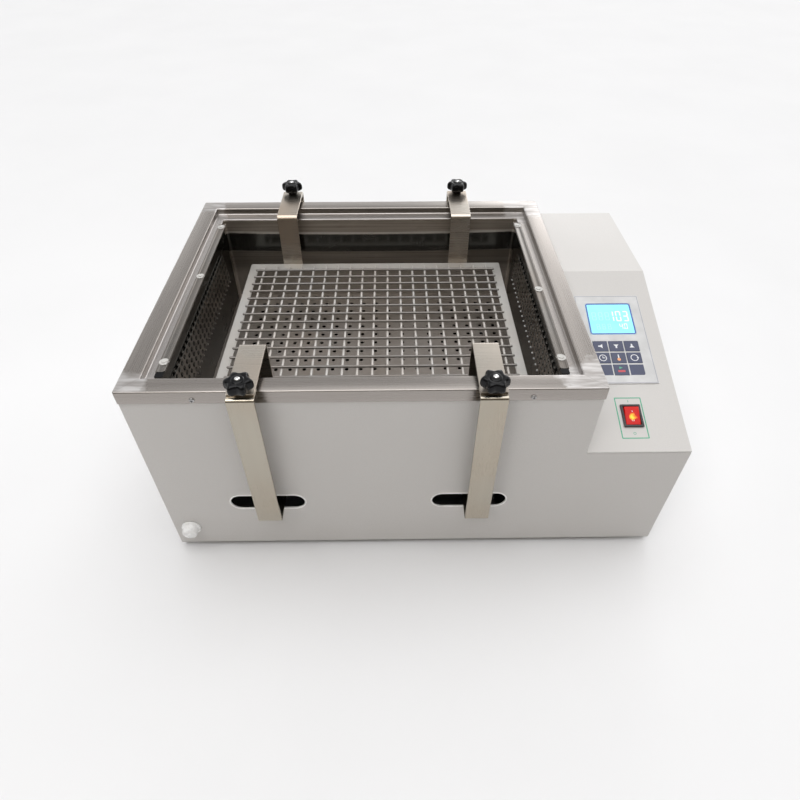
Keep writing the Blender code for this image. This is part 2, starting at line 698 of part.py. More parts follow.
def knobs():
    """Six-lobed clamping knobs, each moulded on a stud that passes through hanger and arm."""
    base_z = Z0 + ARM_TOP + GAP
    levels = [(0.50, 0.0045), (0.90, 0.0050), (1.00, 0.0065), (1.00, 0.0150), (0.90, 0.0175), (0.45, 0.0195)]
    stud_r, hub_r, sides = 0.0036, 0.0075, 36
    for name, x, facing in arm_places():
        wall = Y1 if facing > 0 else Y0
        y = wall + facing * KNOB_Y
        rings = []
        for radius, z in ((stud_r, base_z - 0.0125), (stud_r, base_z), (hub_r, base_z), (hub_r, base_z + 0.0035)):
            rings.append([(x + a, y + b, z) for a, b in circle(radius, sides)])
        for scale, z in levels:
            outline = lobed(KNOB_R * scale, 0.0042 * scale, 6, sides // 6)
            rings.append([(x + a, y + b, base_z + z) for a, b in outline])
        loft(f"knob_{name}", "black_plastic", rings, origin=(x, y, base_z), smooth=True)


# ---------------------------------------------------------------- tray
def tray():
    """Flat-bar frame with two crossed layers of wires on it."""
    x0, x1 = TRAY_MID - TRAY_W / 2, TRAY_MID + TRAY_W / 2
    y0, y1 = Y0 + (CASE_D - TRAY_D) / 2, Y1 - (CASE_D - TRAY_D) / 2
    frame_top = Z0 + TRAY_TOP - 2 * (WIRE_H + GAP)
    rings = []
    for inset, z in ((0, frame_top - ARM_T), (0, frame_top), (TRAY_BAR, frame_top), (TRAY_BAR, frame_top - ARM_T)):
        rings.append(rect(x0 + inset, x1 - inset, y0 + inset, y1 - inset, z))
    loft("tray_frame", "stainless", rings, closed=True)
    lap = TRAY_BAR - 0.006
    low = frame_top + GAP
    ladder("tray_wires_cross", wire_positions(TRAY_MID, WIRES_Y), (y0 + lap, y1 - lap), low, True)
    ladder("tray_wires_long", wire_positions((Y0 + Y1) / 2, WIRES_X), (x0 + lap, x1 - lap),
           low + WIRE_H + GAP, False)


def wire_positions(centre, count):
    return [centre + WIRE_PITCH * (i - (count - 1) / 2) for i in range(count)]


def ladder(name, wires, span, low, along_y):
    """Parallel wires joined by a bar at each end, as one body."""
    bar = 0.004
    rows = [span[0], span[0] + bar, span[1] - bar, span[1]]
    columns = [edge for w in wires for edge in (w - WIRE_W / 2, w + WIRE_W / 2)]
    cells = {(i, j) for i in range(len(columns) - 1) for j in range(3) if i % 2 == 0 or j != 1}
    height = (low, low + WIRE_H)
    bm = bmesh.new()
    corners = {}

    def corner(spot, level):
        key = (*spot, level)
        if key not in corners:
            a, b = columns[spot[0]], rows[spot[1]]
            corners[key] = bm.verts.new((a, b, height[level]) if along_y else (b, a, height[level]))
        return corners[key]

    for i, j in sorted(cells):
        loop = ((i, j), (i + 1, j), (i + 1, j + 1), (i, j + 1))
        for level in (0, 1):
            bm.faces.new([corner(spot, level) for spot in loop])
        neighbours = ((i, j - 1), (i + 1, j), (i, j + 1), (i - 1, j))
        for side, neighbour in enumerate(neighbours):
            start, end = loop[side], loop[(side + 1) % 4]
            if neighbour not in cells:
                bm.faces.new((corner(start, 0), corner(end, 0), corner(end, 1), corner(start, 1)))
    place(bm, name, "stainless")


# ---------------------------------------------------------------- controls
KEY_NAMES = {(0, 0): "key_left", (1, 0): "key_down", (2, 0): "key_up",
             (0, 1): "key_timer", (1, 1): "key_temperature", (2, 1): "key_speed", (1, 2): "key_start"}


def key_ranges(column, row):
    x0 = LCD_X[0] + KEY_PITCH_X * column
    s1 = KEY_TOP_S - KEY_PITCH_S * row
    return (x0, x0 + KEY_W), (s1 - KEY_H, s1)


def control_panel():
    """Keypad plate on the slope, with its display window and key holes."""
    panel = slope_box("control_panel", "panel_film", PANEL_X, PANEL_S, (GAP, FILM_TOP))
    slope_cut(panel, LCD_X, LCD_S)
    for column, row in KEY_NAMES:
        slope_cut(panel, *key_ranges(column, row))


def shrink(span, inset):
    return span[0] + inset, span[1] - inset


def display():
    slope_box("lcd_display", "display", shrink(LCD_X, GAP), shrink(LCD_S, GAP), (-0.0060, FILM_TOP - 0.0002))


def control_board():
    """Circuit board under the slope, with the display driver and two relays standing below it."""
    board = slope_box("control_board", "board", (0.592, 0.676), (0.106, 0.246), (-0.0082, -0.0066))
    blocks = (((0.600, 0.630), (0.190, 0.215), -0.014),
              ((0.640, 0.656), (0.130, 0.160), -0.020),
              ((0.612, 0.628), (0.130, 0.160), -0.020))
    for x_range, s_range, depth in blocks:
        fuse(board, slope_box(f"block_{x_range[0]:.3f}", "board", x_range, s_range, (depth, -0.0074)))


def keys():
    """Key caps that stand a little out of the panel and are pressed down towards the board."""
    for (column, row), name in KEY_NAMES.items():
        x_range, s_range = key_ranges(column, row)
        origin = slope_point(sum(x_range) / 2, sum(s_range) / 2, FILM_TOP)
        slope_box(name, "key_film", shrink(x_range, GAP), shrink(s_range, GAP),
                  (-0.0045, FILM_TOP + 0.0004), origin)


def switch():
    """Rocker switch: bezel with a body below the sheet, and the rocker on its cross pin."""
    bezel = slope_box("switch_bezel", "black_plastic", SWITCH_X, SWITCH_S, (GAP, 0.0028))
    fuse(bezel, slope_box("switch_body", "black_plastic", shrink(SWITCH_X, 0.0025), shrink(SWITCH_S, 0.0025),
                          (-0.016, 0.001)))
    wall = 0.0030
    slope_cut(bezel, shrink(SWITCH_X, wall), shrink(SWITCH_S, wall), (-0.0145, 0.01))
    centre = sum(SWITCH_S) / 2
    half = (SWITCH_S[1] - SWITCH_S[0]) / 2 - wall - 0.0010
    profile = [(-half, 0.0030), (-half / 2, 0.0035), (0.0, 0.0028), (half / 2, 0.0035), (half, 0.0030)]
    for i in range(9):
        angle = math.radians(-10 - 20 * i)
        profile.append(((half - 0.001) * math.cos(angle), (half - 0.002) * math.sin(angle)))
    rings = []
    for x in shrink(SWITCH_X, wall + 0.0005):
        ring = []
        for s, out in profile:
            turned_s = s * math.cos(ROCKER_TILT) - out * math.sin(ROCKER_TILT)
            turned_out = s * math.sin(ROCKER_TILT) + out * math.cos(ROCKER_TILT)
            ring.append(slope_point(x, centre + turned_s, turned_out))
        rings.append(ring)
    loft("switch_rocker", "red_plastic", rings, origin=slope_point(sum(SWITCH_X) / 2, centre))


def power_inlet():
    """Appliance inlet in the rear panel: flange, body, socket and three blades."""
    back = Y1 + GAP

    def block(half_w, half_h, y_from, y_to):
        return (INLET_X - half_w, y_from, INLET_Z - half_h), (INLET_X + half_w, y_to, INLET_Z + half_h)

    inlet = box("power_inlet", "black_plastic", *block(0.0200, 0.0135, back, back + 0.0030))
    fuse(inlet, box("inlet_body", "black_plastic", *block(0.0137, 0.0097, back - 0.0200, back + 0.0010)))
    cutter_box(inlet, *block(0.0122, 0.0082, back - 0.0160, back + 0.0100))
    for dx, dz in ((-0.007, -0.002), (0.007, -0.002), (0.0, 0.003)):
        low = (INLET_X + dx - 0.001, back - 0.0170, INLET_Z + dz - 0.002)
        high = (INLET_X + dx + 0.001, back - 0.0080, INLET_Z + dz + 0.002)
        fuse(inlet, box(f"blade_{dx:.3f}", "steel", low, high))


def power_supply():
    """Motor and display supply on the base of the control box, with heat-sink fins."""
    low = Z0 + SHEET + GAP
    left, width, fins = X0 + 0.590, 0.080, 8
    fin_w = width / (2 * fins - 1)
    outline = [(left, low), (left + width, low)]
    for i in range(fins):
        right = left + width - 2 * i * fin_w
        outline += [(right, low + 0.055), (right - fin_w, low + 0.055)]
        if i < fins - 1:
            outline += [(right - fin_w, low + 0.035), (right - 2 * fin_w, low + 0.035)]
    prism("power_supply", "aluminium", outline, Y0 + 0.200, Y0 + 0.310, "Y")


def build():
    clear_scene()
    base_pan()
    front_panel()
    rear_panel()
    side_panels()
    tank_side_panel()
    control_cover()
    feet()
    rim_frame()
    tank_tub()
    lid_rails()
    heater()
    temp_probe()
    perforated_shelf()
    drain()
    guides()
    carriage_plate()
    drive_motor()
    crank()
    connecting_rod()
    outer_arms()
    hangers()
    knobs()
    tray()
    control_panel()
    display()
    control_board()
    keys()
    switch()
    power_inlet()
    power_supply()


build()
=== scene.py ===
"""Looks of the shaking water bath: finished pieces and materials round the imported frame.

Metres, +Z up, -Y is the front and +X runs to the control box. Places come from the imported
nodes' boxes. Pieces that repeat are made by loops, and every material is a node graph in
object coordinates, so it stays on its piece when the piece moves.
"""
import json
import math

import bmesh
import bpy
from mathutils import Matrix, Vector

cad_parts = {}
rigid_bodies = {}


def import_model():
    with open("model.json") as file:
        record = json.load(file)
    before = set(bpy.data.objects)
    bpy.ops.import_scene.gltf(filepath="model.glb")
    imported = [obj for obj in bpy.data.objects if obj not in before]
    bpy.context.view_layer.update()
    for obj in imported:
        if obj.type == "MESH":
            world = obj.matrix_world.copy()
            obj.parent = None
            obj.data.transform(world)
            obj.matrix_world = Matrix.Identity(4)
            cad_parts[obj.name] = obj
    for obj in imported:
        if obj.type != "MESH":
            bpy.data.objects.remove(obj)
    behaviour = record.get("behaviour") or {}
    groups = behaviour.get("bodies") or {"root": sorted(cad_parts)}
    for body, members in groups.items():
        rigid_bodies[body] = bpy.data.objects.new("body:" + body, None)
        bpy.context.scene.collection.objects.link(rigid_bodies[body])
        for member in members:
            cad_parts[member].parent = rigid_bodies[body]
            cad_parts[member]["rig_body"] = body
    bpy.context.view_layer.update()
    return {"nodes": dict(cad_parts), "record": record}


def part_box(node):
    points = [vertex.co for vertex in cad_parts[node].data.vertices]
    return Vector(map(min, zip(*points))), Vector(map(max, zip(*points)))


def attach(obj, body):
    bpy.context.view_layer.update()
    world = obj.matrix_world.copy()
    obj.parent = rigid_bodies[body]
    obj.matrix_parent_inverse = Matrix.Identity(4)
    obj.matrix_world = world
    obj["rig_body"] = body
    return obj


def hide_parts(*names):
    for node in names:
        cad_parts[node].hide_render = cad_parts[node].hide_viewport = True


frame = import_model()
NODES = frame["nodes"]
SLOT_OF = {row["node"]: row["material_slot"] for row in frame["record"]["subparts"]}

MM = 0.001
LIFT = 0.05 * MM            # thickness of printed marks
ACROSS, BACK, Z_UP = Vector((1, 0, 0)), Vector((0, 1, 0)), Vector((0, 0, 1))


# ---------------------------------------------------------------- material helpers
class Nodes:
    """Short calls that add nodes to a tree and return their outputs."""

    def __init__(self, tree, space):
        self.tree = tree
        self.coords = tree.nodes.new("ShaderNodeTexCoord").outputs[space]

    def put(self, target, value):
        """Link a node's output into a socket, or set the socket's own value."""
        if isinstance(value, bpy.types.NodeSocket):
            self.tree.links.new(value, target)
        elif isinstance(value, tuple) and len(value) == 3 and len(target.default_value) == 4:
            target.default_value = (*value, 1.0)
        elif value is not None:
            target.default_value = value

    def node(self, kind, inputs=(), **settings):
        made = self.tree.nodes.new("ShaderNode" + kind)
        for key, value in settings.items():
            setattr(made, key, value)
        for key, value in dict(inputs).items():
            self.put(made.inputs[key], value)
        return made

    def math(self, operation, a, b=None):
        return self.node("Math", {0: a, 1: b}, operation=operation).outputs[0]

    def times(self, a, b):
        return self.math("MULTIPLY", a, b)

    def plus(self, a, b):
        return self.math("ADD", a, b)

    def minus(self, a, b):
        return self.math("SUBTRACT", a, b)

    def noise(self, scale, detail=2.0, stretch=(1, 1, 1), roughness=0.5):
        moved = self.node("Mapping", {"Vector": self.coords, "Scale": stretch}).outputs[0]
        return self.node("TexNoise", {"Vector": moved, "Scale": scale, "Detail": detail,
                                      "Roughness": roughness}).outputs["Fac"]

    def axis(self, name):
        return self.node("SeparateXYZ", {"Vector": self.coords}).outputs[name]

    def span(self, value, low, high, out_low=0.0, out_high=1.0, smooth=False):
        kind = "SMOOTHSTEP" if smooth else "LINEAR"
        return self.node("MapRange", {"Value": value, "From Min": low, "From Max": high, "To Min": out_low,
                                      "To Max": out_high}, interpolation_type=kind).outputs[0]

    def mix(self, factor, a, b, blend="MIX"):
        return self.node("Mix", {0: factor, 6: a, 7: b}, data_type="RGBA", blend_type=blend).outputs[2]

    def ramp(self, value, stops):
        """Grey levels at places along a value, joined by straight runs."""
        made = self.node("ValToRGB", {"Fac": value})
        elements = made.color_ramp.elements
        while len(elements) < len(stops):
            elements.new(0.5)
        for element, (place, level) in zip(elements, stops):
            element.position = place
            element.color = (level, level, level, 1.0)
        return made.outputs[0]


class Graph(Nodes):
    """A material's node tree with one Principled shader, in object coordinates."""

    def __init__(self, name, roughness=0.4, metallic=0.0, **shader_values):
        self.material = bpy.data.materials.new(name)
        self.material.use_nodes = True
        super().__init__(self.material.node_tree, "Object")
        self.shader = self.tree.nodes["Principled BSDF"]
        self.set("Roughness", roughness)
        self.set("Metallic", metallic)
        for key, value in shader_values.items():
            self.set(key.replace("_", " "), value)

    def set(self, socket, value):
        self.put(self.shader.inputs[socket], value)

    def glow(self, tint, strength):
        """The same colour reflected and given out."""
        self.set("Base Color", tint)
        self.set("Emission Color", tint)
        self.set("Emission Strength", strength)

    def streaks(self, lines, colour, amount):
        return self.mix(self.span(lines, 0.3, 0.7), shade(colour, 1 - amount), shade(colour, 1 + amount))

    def bump(self, height, strength, depth):
        made = self.node("Bump", {"Height": height, "Strength": strength, "Distance": depth})
        old = self.shader.inputs["Normal"]
        if old.is_linked:
            self.tree.links.new(old.links[0].from_socket, made.inputs["Normal"])
        self.set("Normal", made.outputs[0])


def shade(colour, factor):
    """A colour made lighter or darker."""
    return tuple(c * factor for c in colour)


def painted(name, colour, grain=1.0):
    """Powder coat: fine orange peel, faint speckle and slow unevenness."""
    g = Graph(name, roughness=0.45)
    speckle = g.span(g.noise(1100, 2), 0.3, 0.7)
    cloud = g.span(g.noise(7, 3), 0.3, 0.7)
    tint = g.mix(speckle, shade(colour, 0.94), shade(colour, 1.04))
    tint = g.mix(cloud, tint, shade(colour, 0.985))
    g.set("Base Color", tint)
    g.set("Roughness", g.span(cloud, 0, 1, 0.40, 0.50))
    g.bump(g.noise(650, 2), 0.22 * grain, 0.25 * MM)
    return g.material


ALONG = {"X": (1, 0, 0), "Y": (0, 1, 0), "Z": (0, 0, 1)}


def stretched(grain, along, across):
    """Mapping scale that draws noise out along one axis."""
    return tuple(along if axis else across for axis in ALONG[grain])


def brushed(name, colour, grain, roughness=0.30, streak=0.07, stain=0.08, bump=0.06, metallic=1.0):
    """Ground stainless sheet: hairlines and slow bands along the grain, and faint handling stains."""
    g = Graph(name, metallic=metallic)
    lines = g.noise(6, 2, stretched(grain, 1.5, 500), 0.6)
    bands = g.span(g.noise(3, 2, stretched(grain, 0.8, 22)), 0.3, 0.7)
    smear = g.span(g.noise(9, 4), 0.38, 0.70)
    tint = g.streaks(lines, colour, streak)
    tint = g.mix(bands, tint, g.mix(0.5, tint, shade(colour, 1 - streak * 1.6)))
    warm = (colour[0] * (1 - stain * 0.5), colour[1] * (1 - stain), colour[2] * (1 - stain * 1.4))
    g.set("Base Color", g.mix(smear, tint, warm))
    rough = g.plus(g.span(lines, 0.25, 0.75, roughness - 0.04, roughness + 0.04),
                   g.span(smear, 0, 1, -0.02, 0.04))
    g.set("Roughness", rough)
    g.bump(lines, bump, 0.04 * MM)
    return g.material


def plastic(name, colour, roughness, grain=900, bump=0.08, **extra):
    """Moulded plastic: fine spark-eroded grain and a handled, uneven gloss."""
    g = Graph(name, **extra)
    wear = g.span(g.noise(45, 3), 0.35, 0.7)
    g.set("Base Color", g.mix(wear, shade(colour, 0.92), shade(colour, 1.10)))
    g.set("Roughness", g.span(wear, 0, 1, roughness - 0.05, roughness + 0.08))
    g.bump(g.noise(grain, 2), bump, 0.06 * MM)
    return g.material


def ink(name, colour):
    """Screen-printed ink with slightly uneven cover."""
    g = Graph(name)
    cover = g.span(g.noise(1500, 2), 0.35, 0.65)
    g.set("Base Color", g.mix(cover, shade(colour, 0.90), shade(colour, 1.05)))
    g.set("Roughness", g.span(cover, 0, 1, 0.42, 0.50))
    return g.material


# ---------------------------------------------------------------- mesh helpers
def finish_piece(name, bm, body, slot, materials, stands_for=(), bevel=0.0, segments=2, sharp=32):
    """Turn a bmesh in the shared frame into a finished piece that rides on a body."""
    bmesh.ops.recalc_face_normals(bm, faces=bm.faces)
    mesh = bpy.data.meshes.new(name)
    bm.to_mesh(mesh)
    bm.free()
    for made in materials:
        mesh.materials.append(made)
    mesh.shade_smooth()
    mesh.set_sharp_from_angle(angle=math.radians(sharp))
    obj = bpy.data.objects.new(name, mesh)
    bpy.context.scene.collection.objects.link(obj)
    if bevel:
        edges = obj.modifiers.new("edges", "BEVEL")
        edges.width = bevel
        edges.segments = segments
        edges.limit_method = "ANGLE"
        edges.angle_limit = math.radians(28)
        edges.harden_normals = True
    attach(obj, body)
    if stands_for:
        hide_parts(*stands_for)


def body_of(node):
    return NODES[node]["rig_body"]


def stand_in(node, bm, materials, *edges, sharp=32):
    """A finished piece that replaces a node, on the node's body."""
    finish_piece(f"fine_{node}", bm, body_of(node), SLOT_OF[node], materials, (node,), *edges, sharp=sharp)


def soften(node, made, width, segments=2):
    """The node's own shape with its edges rounded, in a finished material."""
    bm = bmesh.new()
    bm.from_mesh(NODES[node].data)
    bmesh.ops.remove_doubles(bm, verts=bm.verts, dist=0.005 * MM)
    bmesh.ops.dissolve_limit(bm, angle_limit=math.radians(1), verts=bm.verts, edges=bm.edges)
    stand_in(node, bm, [made], width, segments)


def rings_to_faces(bm, rings, closed=False, index=0):
    """Quads between rings of equal length, which close on themselves or end in flat caps."""
    loops = [[bm.verts.new(p) for p in ring] for ring in rings]
    pairs = list(zip(loops, loops[1:]))
    if closed:
        pairs.append((loops[-1], loops[0]))
    faces = []
    for low, high in pairs:
        for i in range(len(low)):
            j = (i + 1) % len(low)
            faces.append(bm.faces.new((low[i], low[j], high[j], high[i])))
    if not closed:
        faces += [bm.faces.new(loops[0]), bm.faces.new(loops[-1])]
    for face in faces:
        face.material_index = index


def solid(rings, closed=False):
    bm = bmesh.new()
    rings_to_faces(bm, rings, closed)
    return bm


def circle(radius, sides):
    step = 2 * math.pi / sides
    return [(radius * math.cos(i * step), radius * math.sin(i * step)) for i in range(sides)]


def arc(cx, cy, radius, start, sweep, steps):
    """Points on an arc; start and sweep in degrees."""
    turns = [math.radians(start + sweep * i / steps) for i in range(steps + 1)]
    return [(cx + radius * math.cos(a), cy + radius * math.sin(a)) for a in turns]


def rounded_rect(x0, x1, y0, y1, radius, steps=4):
    """Corner arcs of a rectangle, anticlockwise from the lower right, as (x, y) points. The radius is
    one number, or a list with one for each corner."""
    radii = radius if isinstance(radius, list) else [radius] * 4
    points = []
    for (x, y, start), r in zip(((x1, y0, -90), (x1, y1, 0), (x0, y1, 90), (x0, y0, 180)), radii):
        points += arc(x - r if x == x1 else x + r, y - r if y == y1 else y + r, r, start, 90, steps)
    return points


def level_ring(low, high, inset, z, radius, steps=4):
    """Rounded rectangle inside two corners, as a level ring of points."""
    outline = rounded_rect(low.x + inset, high.x - inset, low.y + inset, high.y - inset, radius, steps)
    return [(x, y, z) for x, y in outline]


def rectangle(x0, x1, y0, y1):
    return [(x0, y0), (x1, y0), (x1, y1), (x0, y1)]


def basis(axis):
    """Two directions square to an axis, and the axis itself."""
    axis = Vector(axis).normalized()
    side = Vector((1, 0, 0)) if abs(axis.x) < 0.9 else Vector((0, 1, 0))
    v = axis.cross(side).normalized()
    return v.cross(axis).normalized(), v, axis


def turned_rings(base, axis, profile, sides):
    """Round rings along an axis, from (radius, place) pairs."""
    u, v, axis = basis(axis)
    base = Vector(base)
    return [[base + axis * along + u * a + v * b for a, b in circle(radius, sides)] for radius, along in profile]


def lobed_rings(base, axes, radius, levels, lobes, depth, sharpness=1.0, sides=96):
    """Rings along the last axis, hollowed between lobes; levels are (share of the radius, place,
    share of the depth)."""
    u, v, axis = axes
    rings = []
    for scale, along, share in levels:
        ring = []
        for i in range(sides):
            angle = 2 * math.pi * i / sides
            hollow = (0.5 - 0.5 * math.cos(lobes * angle)) ** sharpness
            r = radius * scale * (1 - depth * share * hollow)
            ring.append(base + u * (r * math.cos(angle)) + v * (r * math.sin(angle)) + axis * along)
        rings.append(ring)
    return rings


def dome(radius, height, edge, low=0.0, steps=5):
    """Profile of a round head: straight side, then a domed top that ends in a small flat."""
    profile = [(radius, low), (radius, low + edge)]
    for i in range(1, steps + 1):
        angle = math.radians(84 * i / steps)
        profile.append((radius * math.cos(angle), low + edge + (height - edge) * math.sin(angle)))
    return profile


def path_blend(corners, radius, steps=8):
    """Corners joined by straight runs and round bends of the given radius."""
    corners = [Vector(c) for c in corners]
    path = [corners[0]]
    for before, corner, after in zip(corners, corners[1:], corners[2:]):
        back, ahead = (before - corner).normalized(), (after - corner).normalized()
        half = back.angle(ahead) / 2
        reach = radius / math.tan(half)
        centre = corner + (back + ahead).normalized() * radius / math.sin(half)
        first = corner + back * reach - centre
        normal = first.cross(corner + ahead * reach - centre)
        for i in range(steps + 1):
            turn = Matrix.Rotation((math.pi - 2 * half) * i / steps, 3, normal)
            path.append(centre + turn @ first)
    path.append(corners[-1])
    return path


# ---------------------------------------------------------------- materials
PAINT = (0.628, 0.610, 0.594)
STEEL = (0.375, 0.345, 0.322)
ARM_STEEL = (0.450, 0.415, 0.352)
HANGER_STEEL = (0.605, 0.560, 0.500)

paint = painted("casing_paint", PAINT)
rail_steel = brushed("stainless_rails", (0.25, 0.235, 0.22), "Y", 0.30, 0.05, 0.16)
arm_steel = brushed("stainless_arms", ARM_STEEL, "Z", 0.24)
hanger_steel = brushed("stainless_hangers", HANGER_STEEL, "X", 0.28, 0.07, 0.12)
# a darker copy of the hanger steel: painted shade
dull_steel = brushed("stainless_hanger_painted_shade", shade(HANGER_STEEL, 0.70), "X", 0.30, 0.07, 0.12)
streaked_steel = brushed("stainless_streaked", HANGER_STEEL, "X", 0.28, 0.20, 0.20)
tray_steel = brushed("stainless_tray", (0.57, 0.555, 0.53), "X", 0.34, 0.05, 0.12, metallic=0.5)
grille_steel = brushed("stainless_grille", (0.30, 0.29, 0.27), "Z", 0.14, 0.05, 0.05, 0.02)
# one wire in two tones: the long wires darker, painted shade, the cross wires lighter, painted light
wire_along = brushed("tray_wire_long_painted_shade", (0.23, 0.22, 0.21), "X", 0.38, 0.06, 0.14, 0.02, metallic=0.6)
wire_across = brushed("tray_wire_cross_painted_light", (0.66, 0.64, 0.615), "Y", 0.32, 0.06, 0.10, 0.02, metallic=0.4)
machined = brushed("machined_steel", (0.50, 0.50, 0.51), "X", 0.33, 0.08, 0.05)
alloy = brushed("aluminium", (0.72, 0.73, 0.74), "Y", 0.38, 0.10, 0.03)
galvanised = brushed("zinc_sheet", (0.58, 0.59, 0.60), "X", 0.45, 0.06, 0.08)
black_gloss = plastic("knob_black", (0.004, 0.004, 0.005), 0.18, 500, 0.05, Specular_IOR_Level=0.22)
bright_stud = brushed("stud_end", (0.80, 0.80, 0.80), "Z", 0.16, 0.04, 0.03, 0.02)
black_plastic = plastic("black_plastic", (0.018, 0.018, 0.020), 0.38)
white_plastic = plastic("white_plastic", (0.96, 0.96, 0.96), 0.28, 700, 0.06)
rubber = plastic("rubber", (0.035, 0.034, 0.033), 0.75, 400, 0.3)
weld_pad = plastic("weld_pad", (0.56, 0.55, 0.53), 0.40, 900, 0.25)
trim = plastic("slot_trim", (0.95, 0.94, 0.92), 0.30)
film = plastic("panel_film", (0.62, 0.62, 0.625), 0.35, 1300, 0.05)
heater_metal = brushed("heater_sheath", (0.42, 0.36, 0.31), "X", 0.35, 0.15, 0.25)
board = plastic("circuit_board", (0.03, 0.16, 0.07), 0.35, 700, 0.2)
white_ink = ink("white_ink", (0.80, 0.81, 0.84))
green_ink = ink("green_ink", (0.10, 0.42, 0.27))
red_ink = ink("red_ink", (0.60, 0.08, 0.10))
orange_ink = ink("orange_ink", (0.90, 0.42, 0.20))
blue_ink = ink("blue_ink", (0.08, 0.13, 0.50))
# grey line round the control film: painted shadow of the film's edge
border_ink = ink("border_ink", (0.36, 0.36, 0.42))


def rim_steel():
    """The rim's sheet: grain turns at the mitres, ground-off weld marks at the corners, and painted light on the
    ledge.
    """
    low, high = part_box("rim_frame")
    centre, half = (low + high) / 2, (high - low) / 2
    g = Graph("rim_steel", metallic=1.0)
    from_left = g.minus(g.axis("X"), centre.x)
    x_in = g.minus(half.x, g.math("ABSOLUTE", from_left))
    y_in = g.minus(half.y, g.math("ABSOLUTE", g.minus(g.axis("Y"), centre.y)))
    seam = g.minus(y_in, x_in)
    on_side = g.math("GREATER_THAN", seam, 0.0)

    def turning(scale, along, across, roughness=0.5):
        pair = [g.noise(scale, 2, stretched(grain, along, across), roughness) for grain in "XY"]
        return g.node("Mix", {0: on_side, 2: pair[0], 3: pair[1]}, data_type="FLOAT").outputs[0]

    lines = turning(6, 1.5, 500, 0.6)
    bands = g.span(turning(3, 0.8, 26), 0.3, 0.7)
    # ground patches: ragged, longer on the right-hand mitres
    ragged = g.span(g.noise(30, 4, (1, 1, 1), 0.6), 0.3, 0.7, -0.014, 0.014)
    reach = g.plus(g.math("MAXIMUM", x_in, y_in), ragged)
    limit = g.span(from_left, -half.x, half.x, 0.034, 0.056)
    patch = g.span(g.minus(reach, limit), -0.007, 0.005, 1.0, 0.0, True)
    inside = g.math("MINIMUM", x_in, y_in)
    patch = g.times(patch, g.span(inside, 0.0004, 0.0014))
    turned = g.node("Mapping", {"Vector": g.coords, "Rotation": (0, 0, math.radians(38)), "Scale": (14, 90, 90)})
    scuff = g.node("TexNoise", {"Vector": turned.outputs[0], "Scale": 2.0, "Detail": 3.0}).outputs["Fac"]
    tint = g.streaks(lines, STEEL, 0.07)
    tint = g.mix(bands, tint, shade(STEEL, 0.88))
    ground = g.mix(g.span(scuff, 0.38, 0.64), (0.40, 0.375, 0.36), (0.62, 0.60, 0.59))
    below_top = g.span(g.axis("Z"), high.z - 0.009, high.z - 0.008, 1, 0)
    # painted light: the ledge is painted lighter than the rest of the sheet, less towards the right-hand end where the
    # fill lamp lights it
    on_ledge = g.times(g.span(inside, 0.024, 0.026), below_top)
    lighter = g.span(from_left, 0.10, 0.20, 0.60, 0.15)
    tint = g.mix(g.times(on_ledge, lighter), tint, (0.66, 0.63, 0.62))
    tint = g.mix(patch, tint, ground)
    line = g.span(g.math("ABSOLUTE", seam), 0.0002, 0.0006, 1.0, 0.0)
    g.set("Base Color", g.mix(g.times(line, 0.5), tint, (0.30, 0.28, 0.26)))
    rough = g.plus(g.span(lines, 0.25, 0.75, 0.24, 0.32), g.times(patch, 0.12))
    g.set("Roughness", rough)
    g.bump(lines, 0.06, 0.04 * MM)
    g.bump(g.times(scuff, patch), 0.15, 0.10 * MM)
    return g.material


def tank_steel():
    """Tub sheet: nearly mirror-bright, with faint drawing lines, dried water marks and a brushed band along
    the top of the rear wall; its very dark colour is painted shade, and the lower rear wall has painted light."""
    low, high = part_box("tank_tub")
    # very dark colour: painted shade of the tank's inside
    colour = (0.092, 0.093, 0.088)
    g = Graph("tank_wall_painted_shade_and_light", metallic=1.0)
    lines = g.noise(5, 2, stretched("Z", 2, 220), 0.6)
    marks = g.span(g.noise(22, 5, (1, 1, 2.5), 0.65), 0.54, 0.68)
    tint = g.streaks(lines, colour, 0.06)
    tint = g.mix(g.times(marks, 0.25), tint, shade(colour, 1.3))
    grain = g.noise(6, 3, stretched("X", 0.6, 60), 0.6)
    sag = g.times(g.math("POWER", g.minus(g.axis("X"), (low.x + high.x) / 2), 2.0), 0.06)
    height = g.minus(g.axis("Z"), g.plus(sag, high.z - 0.0265))
    at_rear = g.math("GREATER_THAN", g.axis("Y"), high.y - 0.016)
    band = g.times(g.span(height, -0.0005, 0.0015, 0.0, 1.0, True), at_rear)
    hem = g.times(g.span(g.math("ABSOLUTE", g.minus(height, 0.002)), 0.001, 0.003, 1.0, 0.0), at_rear)
    brown = g.mix(g.span(grain, 0.35, 0.65), (0.36, 0.315, 0.27), (0.56, 0.51, 0.46))
    low_band = g.times(g.span(height, -0.034, -0.031, 1.0, 0.0, True), at_rear)
    # painted light: the rear wall is painted lighter towards the bottom
    lit_low = g.times(g.span(height, -0.055, -0.085, 0.0, 0.8, True), at_rear)
    tint = g.mix(g.times(low_band, 0.55), tint, brown)
    tint = g.mix(lit_low, tint, (0.66, 0.62, 0.58))
    tint = g.mix(band, tint, brown)
    g.set("Base Color", g.mix(hem, tint, (0.80, 0.77, 0.73)))
    smooth = g.plus(g.span(lines, 0.3, 0.7, 0.13, 0.19), g.times(marks, 0.14))
    dull = g.plus(g.times(band, 0.36), g.times(low_band, 0.30))
    g.set("Roughness", g.plus(smooth, dull))
    g.bump(g.noise(5, 2), 0.12, 1.0 * MM)
    g.bump(lines, 0.04, 0.03 * MM)
    return g.material


